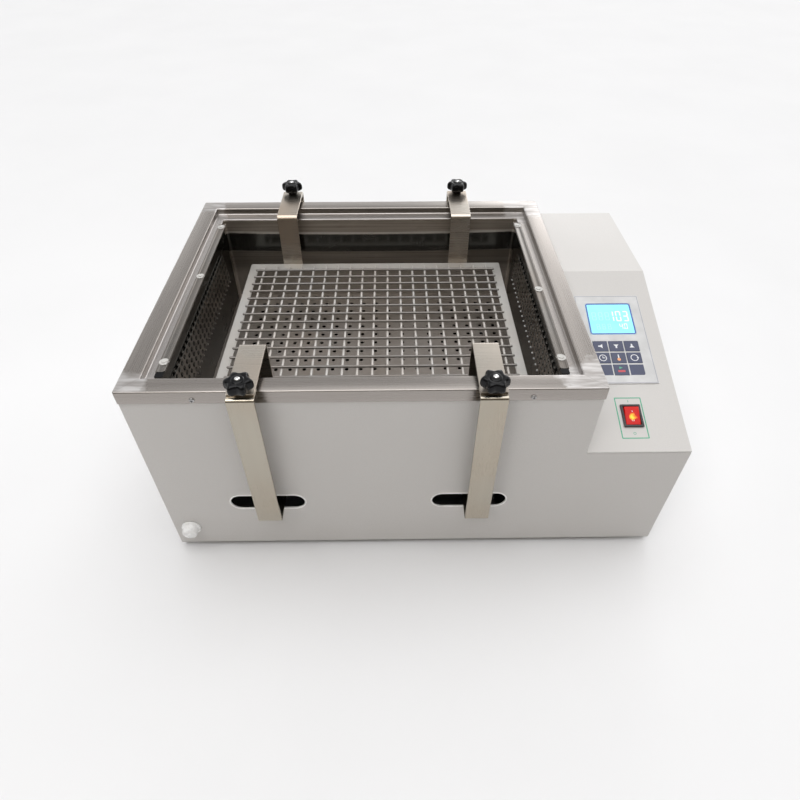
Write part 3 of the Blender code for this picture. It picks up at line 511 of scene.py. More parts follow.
def shelf_steel():
    """Guard sheet: pickled and dull, stained brown by warm water."""
    colour = (0.41, 0.372, 0.342)
    g = Graph("shelf_sheet", metallic=1.0)
    lines = g.noise(5, 2, stretched("X", 2, 220), 0.6)
    stain = g.span(g.noise(12, 4, (1, 1, 1), 0.6), 0.42, 0.66)
    tint = g.streaks(lines, colour, 0.08)
    g.set("Base Color", g.mix(g.times(stain, 0.6), tint, (0.30, 0.255, 0.215)))
    g.set("Roughness", g.span(stain, 0, 1, 0.42, 0.52))
    g.bump(lines, 0.06, 0.04 * MM)
    return g.material


# ---------------------------------------------------------------- casing
def casing():
    for node in ("front_panel", "left_panel", "right_panel", "rear_panel"):
        soften(node, paint, 0.5 * MM)
    soften("control_cover", paint, 0.6 * MM, 3)
    soften("tank_side_panel", paint, 0.4 * MM)
    soften("base_pan", galvanised, 0.4 * MM)
    for i in range(4):
        soften(f"foot_{i + 1}", rubber, 0.8 * MM)


SLOT_SIZE = (103 * MM, 29 * MM)
SLOT_HEIGHT = 107 * MM
SLOT_SPREAD = 278 * MM      # between the two slots of a face
STROKE_RADIUS = 10 * MM     # of the crank
REST_PHASE = math.radians(45)
# rings of the edging, in mm: growth past the slot's edge, and height out of the wall
TRIM_RINGS = ((1.4, -0.30), (1.6, 0.0), (1.2, 0.6), (-0.2, 0.6), (-0.55, 0.2), (-0.55, -1.6), (-0.05, -1.6),
              (-0.05, -0.30))


def obround(cx, cz, length, height, steps=14):
    """Outline of a slot with round ends."""
    radius = height / 2
    reach = length / 2 - radius
    return arc(cx + reach, cz, radius, -90, 180, steps) + arc(cx - reach, cz, radius, 90, 180, steps)


def slot_trims():
    """Edging strip round each shaker slot: a thin U over the sheet's edge."""
    arms = (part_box("arm_front_left")[0].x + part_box("arm_front_right")[1].x) / 2
    middle = arms - STROKE_RADIUS * math.sin(REST_PHASE)
    for face, wall, outward in (("front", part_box("front_panel")[0].y, -1), ("rear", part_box("rear_panel")[1].y, 1)):
        for side, sign in (("left", -1), ("right", 1)):
            rings = []
            for grow, out in TRIM_RINGS:
                length, height = (size + 2 * grow * MM for size in SLOT_SIZE)
                outline = obround(middle + sign * SLOT_SPREAD / 2, SLOT_HEIGHT, length, height)
                rings.append([(x, wall + outward * out * MM, z) for x, z in outline])
            finish_piece(f"slot_trim_{face}_{side}", solid(rings, True), "case", "black_plastic", [trim])


def screw_head(bm, base, axis):
    """Pan head with the cross recess drawn as a black cross in the dome: painted shade."""
    radius = 3.2 * MM
    u, v, axis = basis(axis)
    rings_to_faces(bm, turned_rings(base, axis, dome(radius, radius * 0.62, radius * 0.18), 24))
    # the cross recess is a black cross set into the dome, painted shade of the recess
    for a, b in ((u, v), (v, u)):
        rings = [[Vector(base) + radius * (a * long * i + b * short * j + axis * out)
                  for i, j in ((-1, -1), (1, -1), (1, 1), (-1, 1))]
                 for long, short, out in ((0.52, 0.13, 0.50), (0.50, 0.12, 0.66))]
        rings_to_faces(bm, rings, index=1)


def screws():
    """Visible screw heads: the rim's skirt, the rear panel and the right-hand panel."""
    skirt_low, skirt_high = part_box("rim_frame")
    low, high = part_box("front_panel")
    rear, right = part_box("rear_panel")[1].y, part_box("right_panel")[1].x
    skirt = skirt_high.z - 12.5 * MM
    columns, rows = (low.x + 0.012, low.x + 0.300, high.x - 0.012), (low.z + 0.010, low.z + 0.262)
    places = {
        "skirt_screws": [((low.x + x, y, skirt), (0, out, 0)) for x in (0.0866, 0.4805)
                         for y, out in ((skirt_low.y, -1), (skirt_high.y, 1))]
        + [((skirt_low.x, y, skirt), (-1, 0, 0)) for y in (-0.140, 0.140)],
        "rear_panel_screws": [((x, rear, z), (0, 1, 0)) for x in columns for z in rows],
        "right_panel_screws": [((right, y, rows[0]), (1, 0, 0)) for y in (-0.215, 0.0, 0.215)],
    }
    for name, heads in places.items():
        bm = bmesh.new()
        for base, axis in heads:
            screw_head(bm, base, axis)
        finish_piece(name, bm, "case", "drive_steel", [machined, black_plastic])


# ---------------------------------------------------------------- rim, tank and lid rails
SHEET = 1.2 * MM            # thickness of the tank's, rim's and guard sheets
TUB_FLANGE = Vector((8.0 * MM, 8.0 * MM, 0))


def rim():
    """Pressed rim with rounded bends: skirt, top, step and ledge."""
    low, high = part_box("rim_frame")
    hole_low, hole_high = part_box("tank_tub")
    step = 25.0 * MM            # from the skirt's face to the step
    ledge = high.z - 10.0 * MM
    bend, inner_bend, edge = 1.7 * MM, 1.9 * MM, 0.35 * MM
    profile = [(edge, low.z), (0.0, low.z + edge)]
    profile += arc(bend, high.z - bend, bend, 180, -90, 4)
    profile += arc(step - inner_bend, high.z - inner_bend, inner_bend, 90, -90, 4)
    profile += arc(step + inner_bend, ledge + inner_bend, inner_bend, 180, 90, 4)
    under = [(step - SHEET, ledge - SHEET), (step - SHEET, high.z - SHEET), (SHEET, high.z - SHEET), (SHEET, low.z)]
    opening = [(-0.5 * MM, ledge), (0.0, ledge - 0.5 * MM), (0.0, ledge - SHEET)]

    def around(points):
        return [level_ring(low, high, inset, z, max(2.6 * MM - inset, 0.8 * MM)) for inset, z in points]

    inner = [level_ring(hole_low + TUB_FLANGE, hole_high - TUB_FLANGE, inset, z, 2.0 * MM) for inset, z in opening]
    stand_in("rim_frame", solid(around(profile) + inner + around(under), True), [rim_steel()])


def tank():
    """Tub with rounded corners, a coved floor and a flange under the ledge."""
    low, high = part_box("tank_tub")
    corner, cove, edge = 5.0 * MM, 5.0 * MM, 0.3 * MM
    profile = [(-2 * cove, low.z), (SHEET - cove * 0.3, low.z), (SHEET, low.z + cove), (SHEET, high.z - SHEET),
               (TUB_FLANGE.x, high.z - SHEET), (TUB_FLANGE.x, high.z), (edge, high.z), (0, high.z - edge)]
    profile += arc(-cove, low.z + SHEET + cove, cove, 0, -90, 5)
    rings = [level_ring(low + TUB_FLANGE, high - TUB_FLANGE, -out, z, max(corner + out, 0.6 * MM), 6)
             for out, z in profile]
    stand_in("tank_tub", solid(rings), [tank_steel()])


def perforated(bm, centre, u, v, across, up, hole, thickness, sides=16, margins=False):
    """A sheet with a round hole in each cell between the given cell edges; u and v span it and its
    back lies below them. With margins, the outermost cells have no hole."""
    u, v = Vector(u), Vector(v)
    down = v.cross(u) * thickness
    centre = Vector(centre)
    columns, rows = len(across) - 1, len(up) - 1
    spots = {}

    def corner(a, b, level):
        key = (round(a * 1e6), round(b * 1e6), level)
        if key not in spots:
            spots[key] = bm.verts.new(centre + u * a + v * b + down * level)
        return spots[key]

    for i in range(columns):
        for j in range(rows):
            a0, b0 = (across[i] + across[i + 1]) / 2, (up[j] + up[j + 1]) / 2
            width, height = across[i + 1] - across[i], up[j + 1] - up[j]
            border = []
            for k in range(sides):
                angle = 2 * math.pi * k / sides
                x, y = math.cos(angle), math.sin(angle)
                reach = 0.5 / max(abs(x), abs(y))
                border.append((a0 + x * reach * width, b0 + y * reach * height))
            outer = [[corner(a, b, level) for a, b in border] for level in (0, 1)]
            if margins and (i in (0, columns - 1) or j in (0, rows - 1)):
                for loop in outer:
                    bm.faces.new(loop)
                continue
            inner = [[bm.verts.new(centre + u * (a0 + a) + v * (b0 + b) + down * level)
                      for a, b in circle(hole, sides)] for level in (0, 1)]
            for k in range(sides):
                n = (k + 1) % sides
                for level in (0, 1):
                    bm.faces.new((outer[level][k], outer[level][n], inner[level][n], inner[level][k]))
                bm.faces.new((inner[0][k], inner[0][n], inner[1][n], inner[1][k]))
    hem = [edge for edge in bm.edges if edge.is_boundary]
    bmesh.ops.bridge_loops(bm, edges=hem)


def even(count, pitch):
    """Edges of equal cells, centred on zero."""
    return [pitch * (i - count / 2) for i in range(count + 1)]


HOLE_PITCH = (22.45 * MM, 22.6 * MM)
HOLE_COUNT = (19, 17)
HOLE_START = (-273.4 * MM, -189.5 * MM)     # left and front edge of the holed field


def shelf():
    """Guard sheet over the heater: folded sides, and small round holes under the tray."""
    low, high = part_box("perforated_shelf")
    spread = Vector((2.7 * MM, 2.7 * MM, 0))
    low, high = low - spread, high + spread
    across = [low.x] + [HOLE_START[0] + i * HOLE_PITCH[0] for i in range(HOLE_COUNT[0] + 1)] + [high.x]
    up = [low.y] + [HOLE_START[1] + j * HOLE_PITCH[1] for j in range(HOLE_COUNT[1])] + [high.y - 2 * MM, high.y]
    bm = bmesh.new()
    perforated(bm, (0, 0, high.z), (1, 0, 0), (0, 1, 0), across, up, 3.1 * MM, SHEET, 16, True)
    fold_top = high.z - SHEET - 0.2 * MM
    for x0, x1 in ((low.x, low.x + SHEET), (high.x - SHEET, high.x)):
        outline = rectangle(x0, x1, low.z, fold_top)
        rings_to_faces(bm, [[(x, y, z) for x, z in outline] for y in (low.y, high.y)])
    stand_in("perforated_shelf", bm, [shelf_steel()])


GRILLE_PITCH = (13.2 * MM, 10.5 * MM)
GRILLE_COUNT = (23, 5)
GRILLE_MIDDLE = -6 * MM
PIPS_BELOW_RIM = 88.5 * MM


def wall_grilles():
    """Slanting rows of water holes in both side walls of the tub, over a row of pips, white on the right: painted
    highlight.
    """
    low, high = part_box("tank_tub")
    row = high.z - PIPS_BELOW_RIM
    off_wall = TUB_FLANGE.x + 3.0 * MM
    across, up = (even(count, pitch) for count, pitch in zip(GRILLE_COUNT, GRILLE_PITCH))
    for side, x, sign in (("left", low.x + off_wall, 1), ("right", high.x - off_wall, -1)):
        bm = bmesh.new()
        middle = (x, GRILLE_MIDDLE, row + 30 * MM)
        perforated(bm, middle, (0, sign, 0), (0, -0.25, 1.0), across, up, 4.0 * MM, 0.6 * MM, 8)
        finish_piece(f"wall_grille_{side}", bm, "case", "stainless", [grille_steel])
        bm = bmesh.new()
        head = dome(1.4 * MM, 4.2 * MM, 3.4 * MM, -3.2 * MM, 3)
        for place in across:
            rings_to_faces(bm, turned_rings((x, GRILLE_MIDDLE + place, row), (sign, 0, 0), head, 8))
        # the right-hand pips are white, a painted highlight of glints; the left-hand ones are steel
        made = white_plastic if side == "right" else rail_steel
        finish_piece(f"wall_pips_{side}", bm, "case", "white_plastic", [made])


PAD_SPOTS = {"left": (62, 255, 403), "right": (64, 215, 403)}      # mm from the front
RAIL_OVERHANG = 2.0         # mm past the ledge's own edge
RAIL_PROFILE = ((0, 0), (12.0, 0), (12.0, 1.6), (11.7, 2.3), (11.1, 2.6), (10.5, 2.3), (10.1, 1.6), (9.4, 1.3),
                (3.4, 1.3), (2.8, 1.6), (2.2, 2.0), (1.4, 2.0), (0.6, 1.7), (0, 1.1))


def lid_rails():
    """Channel strips on the side ledges, beaded along both edges, each with three locating pads and a
    black block at its front end, painted shade of the gap there."""
    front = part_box("front_panel")[0].y
    for side, spots in PAD_SPOTS.items():
        low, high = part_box(f"lid_rail_{side}")
        inward = 1 if side == "left" else -1
        outer, inner = (low.x, high.x) if side == "left" else (high.x, low.x)
        outline = [(outer + inward * (a + RAIL_OVERHANG) * MM, low.z + b * MM) for a, b in RAIL_PROFILE]
        rings = [[(x, y, z) for x, z in outline] for y in (low.y, high.y)]
        stand_in(f"lid_rail_{side}", solid(rings), [rail_steel], 0.15 * MM)
        bm = bmesh.new()
        middle = (low.x + high.x) / 2 + inward * RAIL_OVERHANG * MM
        disc = [(6.2 * MM, 0), (6.2 * MM, 0.9 * MM), (5.7 * MM, 1.2 * MM)]
        hexagon = [(3.4 * MM, 1.1 * MM), (3.4 * MM, 1.9 * MM), (2.9 * MM, 2.2 * MM)]
        for spot in spots:
            base = (middle, front + spot * MM, low.z + 1.0 * MM)
            for profile, sides in ((disc, 28), (hexagon, 6)):
                rings_to_faces(bm, turned_rings(base, (0, 0, 1), profile, sides))
        finish_piece(f"locating_pads_{side}", bm, "case", "white_plastic", [weld_pad], (), 0.15 * MM)
        # black block at the rail's front end: painted shade of the gap there
        x0, x1 = sorted((outer + inward * 3 * MM, inner + inward * MM))
        block = rounded_rect(x0, x1, low.y - 9.5 * MM, low.y - 0.5 * MM, 1.0 * MM)
        rings = [[(x, y, z) for x, y in block] for z in (low.z, low.z + 1.2 * MM)]
        finish_piece(f"rail_end_painted_shade_{side}", solid(rings), "case", "rubber", [black_gloss], (), 0.3 * MM)


# ---------------------------------------------------------------- tray
TRAY_BAR = 14.0 * MM
WIRE_RADIUS = 1.9 * MM
WIRE_PITCH = 20.7 * MM
WIRE_SHORT = 4.5 * MM       # at each end, against the node


def tray():
    """Frame of flat bar with a low lip along its outer edge, and two layers of round wires."""
    low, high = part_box("tray_frame")
    lip, flat = 5.5 * MM, high.z - 0.9 * MM
    rings = []
    for inset, z in ((0, low.z), (0, high.z), (0.6 * MM, high.z), (lip, flat), (TRAY_BAR, flat), (TRAY_BAR, low.z)):
        rings.append(level_ring(low, high, inset, z, max(3.0 * MM - inset, 1.0 * MM)))
    stand_in("tray_frame", solid(rings, True), [tray_steel], 0.4 * MM)
    tip = WIRE_RADIUS / 2
    # the cross wires carry painted light and the long wires painted shade
    for name, count, step, axis, made in (("tray_wires_cross", 19, ACROSS, BACK, wire_across),
                                          ("tray_wires_long", 14, BACK, ACROSS, wire_along)):
        low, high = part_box(name)
        length = (high - low).dot(axis) - 2 * WIRE_SHORT
        profile = [(tip, 0), (WIRE_RADIUS, tip), (WIRE_RADIUS, length - tip), (tip, length)]
        bm = bmesh.new()
        for i in range(count):
            start = (low + high) / 2 + step * WIRE_PITCH * (i - (count - 1) / 2) - axis * length / 2
            start.z = low.z + 1.5 * MM
            rings_to_faces(bm, turned_rings(start, axis, profile, 12))
        stand_in(name, bm, [made])


# ---------------------------------------------------------------- arms, hangers and knobs
ARMS = {"front_left": -1, "front_right": -1, "rear_left": 1, "rear_right": 1}      # the side each faces
# the front right hanger gets the darker copy of the hanger steel: painted shade
HANGER_FINISH = {"front_left": hanger_steel, "front_right": dull_steel, "rear_left": streaked_steel,
                 "rear_right": streaked_steel}
HALF_PLATE = 1.5 * MM
ARM_FLANGE = 20.0 * MM


def strip(node, corners, radius, made):
    """Flat bar bent along corners given as (y, z), across the node's own width."""
    low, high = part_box(node)
    middle = path_blend([(0, y, z) for y, z in corners], radius)
    left, right = [], []
    for i, point in enumerate(middle):
        before = middle[i - 1] if i else point
        after = middle[i + 1] if i < len(middle) - 1 else point
        tangent = (after - before).normalized()
        normal = Vector((0, -tangent.z, tangent.y)) * HALF_PLATE
        left.append(point + normal)
        right.append(point - normal)
    outline = left + right[::-1]
    rings = [[(x, p.y, p.z) for p in outline] for x in (low.x, high.x)]
    stand_in(node, solid(rings), [made], 0.5 * MM)


def arms_and_hangers():
    """Bent flat bars: the arms come out of the slots, the hangers hang from them into the tank."""
    for name, facing in ARMS.items():
        low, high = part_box(f"arm_{name}")
        inner, outer = (low.y, high.y)[::facing]
        top, bottom = high.z - HALF_PLATE, low.z + HALF_PLATE
        leg = outer - facing * HALF_PLATE
        corners = [(inner, bottom), (leg, bottom), (leg, top), (outer - facing * ARM_FLANGE, top)]
        strip(f"arm_{name}", corners, 3.2 * MM, arm_steel)
        low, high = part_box(f"hanger_{name}")
        inner, outer = (low.y, high.y)[::facing]
        top, leg = high.z - HALF_PLATE, inner + facing * HALF_PLATE
        strip(f"hanger_{name}", [(outer, top), (leg, top), (leg, low.z)], 5.2 * MM, HANGER_FINISH[name])


# share of the radius, level in mm, and how deep the hollows between the lobes are
KNOB_HEIGHT = 19.5 * MM
KNOB_LEVELS = ((0.44, 0, 0), (0.44, 3.2, 0), (0.52, 4.0, 0.3), (0.80, 4.6, 0.75), (0.93, 5.6, 0.95),
               (0.99, 7.4, 1), (1, 10.0, 1), (0.985, 13.0, 1), (0.95, 15.0, 1), (0.88, 16.6, 0.95),
               (0.78, 17.4, 0.85), (0.62, 17.6, 0.60), (0.50, 17.3, 0.25), (0.44, 17.2, 0), (0.40, 17.9, 0),
               (0.36, 18.2, 0), (0.26, 18.2, 0))


def knobs():
    """Six-lobed knobs: waisted skirt, soft lobes, a dished top with a raised boss."""
    for name in ARMS:
        node = f"knob_{name}"
        low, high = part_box(node)
        base = Vector(((low.x + high.x) / 2, (low.y + high.y) / 2, high.z - KNOB_HEIGHT))
        axes = (ACROSS, BACK, Z_UP * MM)
        bm = solid(lobed_rings(base, axes, (high.x - low.x) / 2, KNOB_LEVELS, 6, 0.24, 0.85))
        stud = dome(3.2 * MM, 2.0 * MM, 0.5 * MM, low=18.0 * MM)
        rings_to_faces(bm, turned_rings(base, (0, 0, 1), stud, 24), index=1)
        stand_in(node, bm, [black_gloss, bright_stud], sharp=50)


# ---------------------------------------------------------------- controls
class Slope:
    """Coordinates on the sloped control face: x across, s up the slope, out of the face."""

    RISE, RUN = 0.090, 0.285
    FRONT_EDGE = 0.204          # its height over the floor

    def __init__(self):
        angle = math.atan2(self.RISE, self.RUN)
        self.origin = Vector((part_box("left_panel")[0].x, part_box("control_cover")[0].y, self.FRONT_EDGE))
        self.along = Vector((0, math.cos(angle), math.sin(angle)))
        self.normal = Vector((0, -math.sin(angle), math.cos(angle)))

    def at(self, x, s, out=0.0):
        return self.origin + Vector((x, 0, 0)) + self.along * s + self.normal * out


slope = Slope()
FILM_TOP = 1.3 * MM


def plate(bm, outline, low, high, index=0):
    """An outline on the slope, given thickness."""
    rings = [[slope.at(x, s, out) for x, s in outline] for out in (low, high)]
    rings_to_faces(bm, rings, index=index)


def frame_outline(bm, x0, x1, s0, s1, radius, width, low, high):
    """A printed or moulded rectangular border on the slope."""
    rings = []
    for inset, out in ((0, low), (0, high), (width, high), (width, low)):
        outline = rounded_rect(x0 + inset, x1 - inset, s0 + inset, s1 - inset, max(radius - inset, 0.2 * MM))
        rings.append([slope.at(x, s, out) for x, s in outline])
    rings_to_faces(bm, rings, closed=True)


LCD = (600 * MM, 666 * MM, 181.4 * MM, 236.6 * MM)
KEY_TOP = 170 * MM
KEY_PITCH = (22 * MM, 19.5 * MM)
KEY_SIZE = (20.5 * MM, 17.5 * MM)
KEYS = {"key_left": (0, 0), "key_down": (1, 0), "key_up": (2, 0), "key_timer": (0, 1),
        "key_temperature": (1, 1), "key_speed": (2, 1), "key_start": (1, 2)}
KEY_TOP_OUT = FILM_TOP + 0.4 * MM


def key_field(column, row, inset=0.3 * MM):
    """Left, right, lower and upper edge of a key's field."""
    x0 = LCD[0] + KEY_PITCH[0] * column
    s1 = KEY_TOP - KEY_PITCH[1] * row
    return x0 + inset, x0 + KEY_SIZE[0] - inset, s1 - KEY_SIZE[1] + inset, s1 - inset


def key_corners(column, row):
    """Corner radii from the lower right, anticlockwise: large at the outer corners of the keypad."""
    outer_corners = ((2, 2), (2, 0), (0, 0), (0, 2))
    return [2.6 * MM if (column, row) == corner else 0.4 * MM for corner in outer_corners]


def polygon_mark(bm, points, centre, out, index=0):
    plate(bm, [(centre[0] + x * MM, centre[1] + s * MM) for x, s in points], out, out + LIFT, index)


def ring_mark(bm, centre, radius, width, out):
    rings = []
    for r, level in ((radius, out), (radius, out + LIFT), (radius - width, out + LIFT), (radius - width, out)):
        rings.append([slope.at(centre[0] + a * MM, centre[1] + b * MM, level) for a, b in circle(r, 40)])
    rings_to_faces(bm, rings, closed=True)


def key_symbols(name, bm, centre):
    """Generic marks of a bath controller; the material index says white, orange, green or red."""
    out = KEY_TOP_OUT
    if name in ("key_left", "key_down", "key_up"):
        arrow = [(-3.6, -2.6), (3.6, -2.6), (1.1, 0.6), (1.1, 3.4), (-1.1, 3.4), (-1.1, 0.6)]
        turn = {"key_up": 0, "key_down": 180, "key_left": 90}[name]
        spin = Matrix.Rotation(math.radians(turn), 2)
        polygon_mark(bm, [tuple(spin @ Vector(p)) for p in arrow], centre, out)
    elif name == "key_timer":
        ring_mark(bm, centre, 5.4, 1.1, out)
        polygon_mark(bm, [(-0.5, -0.5), (3.2, -0.5), (3.2, 0.5), (0.5, 0.5), (0.5, 2.6), (-0.5, 2.6)], centre, out)
    elif name == "key_temperature":
        polygon_mark(bm, rectangle(-0.9, 0.9, -0.5, 5.2), centre, out)
        polygon_mark(bm, [(2.4 * a, 2.4 * b - 2.6) for a, b in circle(1, 28)], centre, out + LIFT, 1)
    elif name == "key_speed":
        ring_mark(bm, centre, 5.4, 1.1, out)
        polygon_mark(bm, [(3.0, 0.4), (6.4, 0.4), (4.8, -2.0)], centre, out + LIFT)
    else:
        polygon_mark(bm, [(-2.4, 1.2), (2.4, 3.2), (-2.4, 5.2)], centre, out, 2)
        polygon_mark(bm, rectangle(-5.0, 5.0, -3.8, -0.6), centre, out, 3)


def keypad():
    """The control film and its keys, each with its mark, and the two plain fields beside the start key."""
    soften("control_panel", film, 0.3 * MM)
    navy = plastic("key_film", (0.055, 0.065, 0.125), 0.38, 1400, 0.05)
    for name, (column, row) in KEYS.items():
        field = key_field(column, row)
        bm = bmesh.new()
        plate(bm, rounded_rect(*field, key_corners(column, row), 5), -4.5 * MM, KEY_TOP_OUT)
        stand_in(name, bm, [navy], 0.12 * MM)
        bm = bmesh.new()
        key_symbols(name, bm, ((field[0] + field[1]) / 2, (field[2] + field[3]) / 2))
        finish_piece(f"mark_{name}", bm, body_of(name), "key_film", [white_ink, orange_ink, green_ink, red_ink])
    bm = bmesh.new()
    for column, row in ((0, 2), (2, 2)):
        outline = rounded_rect(*key_field(column, row), key_corners(column, row), 5)
        plate(bm, outline, FILM_TOP, FILM_TOP + LIFT)
    finish_piece("blank_fields", bm, "case", "key_film", [navy])


SEGMENTS = {"0": "abcdef", "1": "bc", "2": "abged", "3": "abgcd", "4": "fgbc", "5": "afgcd",
            "6": "afgedc", "7": "abc", "8": "abcdefg", "9": "abfgcd"}


def digit(bm, text, x, s, width, height, bold, out, index=0):
    """Seven-segment figure with its lower left corner at x, s on the slope."""
    gap = bold * 0.18
    spots = {"a": (0, height - bold, width, bold), "d": (0, 0, width, bold),
             "g": (0, (height - bold) / 2, width, bold), "b": (width - bold, height / 2, bold, height / 2),
             "c": (width - bold, 0, bold, height / 2), "f": (0, height / 2, bold, height / 2),
             "e": (0, 0, bold, height / 2)}
    for segment in SEGMENTS[text]:
        dx, ds, w, h = spots[segment]
        trim_x, trim_s = (bold * 0.55, 0) if w > h else (0, gap + bold * 0.3)
        bar = rectangle(x + dx + trim_x, x + dx + w - trim_x, s + ds + trim_s, s + ds + h - trim_s)
        plate(bm, bar, out, out + LIFT, index)


def lit(name, colour, strength, uneven):
    """Backlit display or lamp: colour and glow vary slowly over the face."""
    g = Graph(name, roughness=0.22)
    cloud = g.span(g.noise(35, 2), 0.3, 0.7)
    g.glow(g.mix(cloud, shade(colour, 1 - uneven), shade(colour, 1 + uneven * 0.5)), strength)
    return g.material


FILM = (586 * MM, 680 * MM, 100.4 * MM, 250.7 * MM)


def film_border():
    """Thin grey line round the control film: painted shadow of the film's edge."""
    x0, x1, s0, s1 = FILM
    bm = bmesh.new()
    frame_outline(bm, x0 + MM, x1 - MM, s0 + MM, s1 - MM, 0.6 * MM, 0.8 * MM, FILM_TOP, FILM_TOP + LIFT)
    finish_piece("film_border", bm, "case", "panel_film", [border_ink])


def display():
    """Lit window with a light border, filled corners, bright figures and faint unlit ones."""
    x0, x1, s0, s1 = LCD
    inset = 0.3 * MM
    face = FILM_TOP - 0.2 * MM
    cyan = lit("display_cyan", (0.23, 0.70, 0.80), 0.55, 0.12)
    bright = lit("display_figure", (0.72, 0.90, 1.0), 0.55, 0.05)
    ghost = lit("display_ghost", (0.30, 0.80, 0.95), 0.55, 0.05)
    window = (x0 + inset, x1 - inset, s0 + inset, s1 - inset)
    round_off = 3.4 * MM
    bm = bmesh.new()
    plate(bm, rounded_rect(*window, 0.5 * MM), -6.0 * MM, face)
    stand_in("lcd_display", bm, [cyan])
    bm = bmesh.new()
    frame_outline(bm, *window, round_off, 1.9 * MM, face, face + 0.15 * MM)
    finish_piece("display_border", bm, "case", "display", [blue_ink])
    bm = bmesh.new()
    bend = [Vector(point) for point in arc(-round_off, round_off, round_off, -90, 90, 6)]
    left, right, bottom, top = window
    for corner, turn in (((right, bottom), 0), ((right, top), 90), ((left, top), 180), ((left, bottom), 270)):
        spin = Matrix.Rotation(math.radians(turn), 2)
        points = [tuple(Vector(corner) + spin @ p) for p in [Vector((0, 0)), *reversed(bend)]]
        plate(bm, points, face, face + 0.18 * MM)
    finish_piece("display_corners", bm, "case", "panel_film", [film])
    bm = bmesh.new()
    out = face + 0.02 * MM
    # figures, first x and pitch, s, width, height and stroke in mm, and which ink
    rows = (("103", 31, 10.5, 23, 7.6, 18, 1.7, 0), ("40", 44, 6.6, 9.5, 4.8, 9.5, 1.1, 0),
            ("888", 7, 9.5, 25, 6.2, 14, 1.1, 1), ("888", 11, 8.0, 9.0, 4.8, 9.5, 0.9, 1))
    for text, first, pitch, s, width, height, bold, index in rows:
        for i, figure in enumerate(text):
            place = (x0 + (first + pitch * i) * MM, s0 + s * MM)
            digit(bm, figure, *place, width * MM, height * MM, bold * MM, out, index)
    polygon_mark(bm, rectangle(49.6, 50.6, 9.5, 10.6), (x0, s0), out)
    finish_piece("display_figures", bm, "case", "display", [bright, ghost])


SWITCH = (619.4 * MM, 645.6 * MM, 35.0 * MM, 68.0 * MM)
SWITCH_PRINT = (613.8 * MM, 649.7 * MM, 18.8 * MM, 79.5 * MM)


def rocker_glow():
    """Lit red polycarbonate: the lamp's warm spot shows through near the middle."""
    g = Graph("rocker_red", roughness=0.22, Specular_IOR_Level=0.15, Coat_Weight=0.08, Coat_Roughness=0.08)
    lamp = slope.at((SWITCH[0] + SWITCH[1]) / 2, (SWITCH[2] + SWITCH[3]) / 2 - 2 * MM, 3 * MM)
    offset = g.node("VectorMath", {0: g.coords, 1: tuple(lamp)}, operation="SUBTRACT").outputs[0]
    distance = g.node("VectorMath", {0: offset}, operation="LENGTH").outputs["Value"]
    spread = g.plus(distance, g.span(g.noise(260, 2), 0.3, 0.7, -0.0015, 0.0015))
    warm = g.span(spread, 0.0010, 0.0062, 1.0, 0.0, True)
    g.glow(g.mix(warm, (0.55, 0.010, 0.008), (1.0, 0.45, 0.04)), g.span(warm, 0, 1, 0.20, 0.9))
    return g.material


def bar_mark(bm, reach, centre, out):
    polygon_mark(bm, rectangle(-0.4, 0.4, -reach, reach), centre, out)


def rocker_spot(s):
    """Centre and level of a mark on the tilted rocker, s mm up from its middle."""
    x0, x1, s0, s1 = SWITCH
    tilt = math.radians(10)
    along = s * math.cos(tilt) - 3.5 * math.sin(tilt)
    out = s * math.sin(tilt) + 3.47 * math.cos(tilt)
    return ((x0 + x1) / 2, (s0 + s1) / 2 + along * MM), out * MM


def switch():
    """Lit rocker with on and off marks, inside a printed frame that repeats them."""
    soften("switch_bezel", black_plastic, 0.7 * MM, 3)
    soften("switch_rocker", rocker_glow(), 0.5 * MM, 3)
    bm = bmesh.new()
    bar_mark(bm, 1.8, *rocker_spot(6.3))
    centre, out = rocker_spot(-6.3)
    ring_mark(bm, centre, 1.8, 0.6, out)
    finish_piece("rocker_marks", bm, body_of("switch_rocker"), "rocker_red", [white_ink])
    x0, x1, s0, s1 = SWITCH_PRINT
    middle = (x0 + x1) / 2
    bm = bmesh.new()
    frame_outline(bm, *SWITCH_PRINT, 1.2 * MM, 1.5 * MM, 0, 2 * LIFT)
    bar_mark(bm, 1.6, (middle, s1 - 5.6 * MM), 0)
    ring_mark(bm, (middle, s0 + 7.5 * MM), 1.9, 0.6, 0)
    finish_piece("switch_frame_print", bm, "case", "panel_film", [green_ink])


# share of the radius, share of the depth, and how deep the flutes are
CAP_LEVELS = ((0.58, 0.68, 0), (0.58, 0, 0), (0.97, 0, 0), (1, 0.02, 0), (1, 0.13, 0), (0.96, 0.17, 0),
              (0.82, 0.20, 0), (0.81, 0.24, 1), (0.78, 0.69, 1), (0.74, 0.76, 0.4), (0.66, 0.79, 0), (0.36, 0.80, 0))


def drain_cap():
    """Screw cap: flange washer, fluted grip and a slightly crowned end."""
    low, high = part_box("drain_cap")
    base = Vector(((low.x + high.x) / 2, high.y, (low.z + high.z) / 2))
    rings = lobed_rings(base, (ACROSS, Z_UP, BACK * (low.y - high.y)), (high.x - low.x) / 2, CAP_LEVELS, 16, 0.045)
    stand_in("drain_cap", solid(rings), [white_plastic], sharp=40)


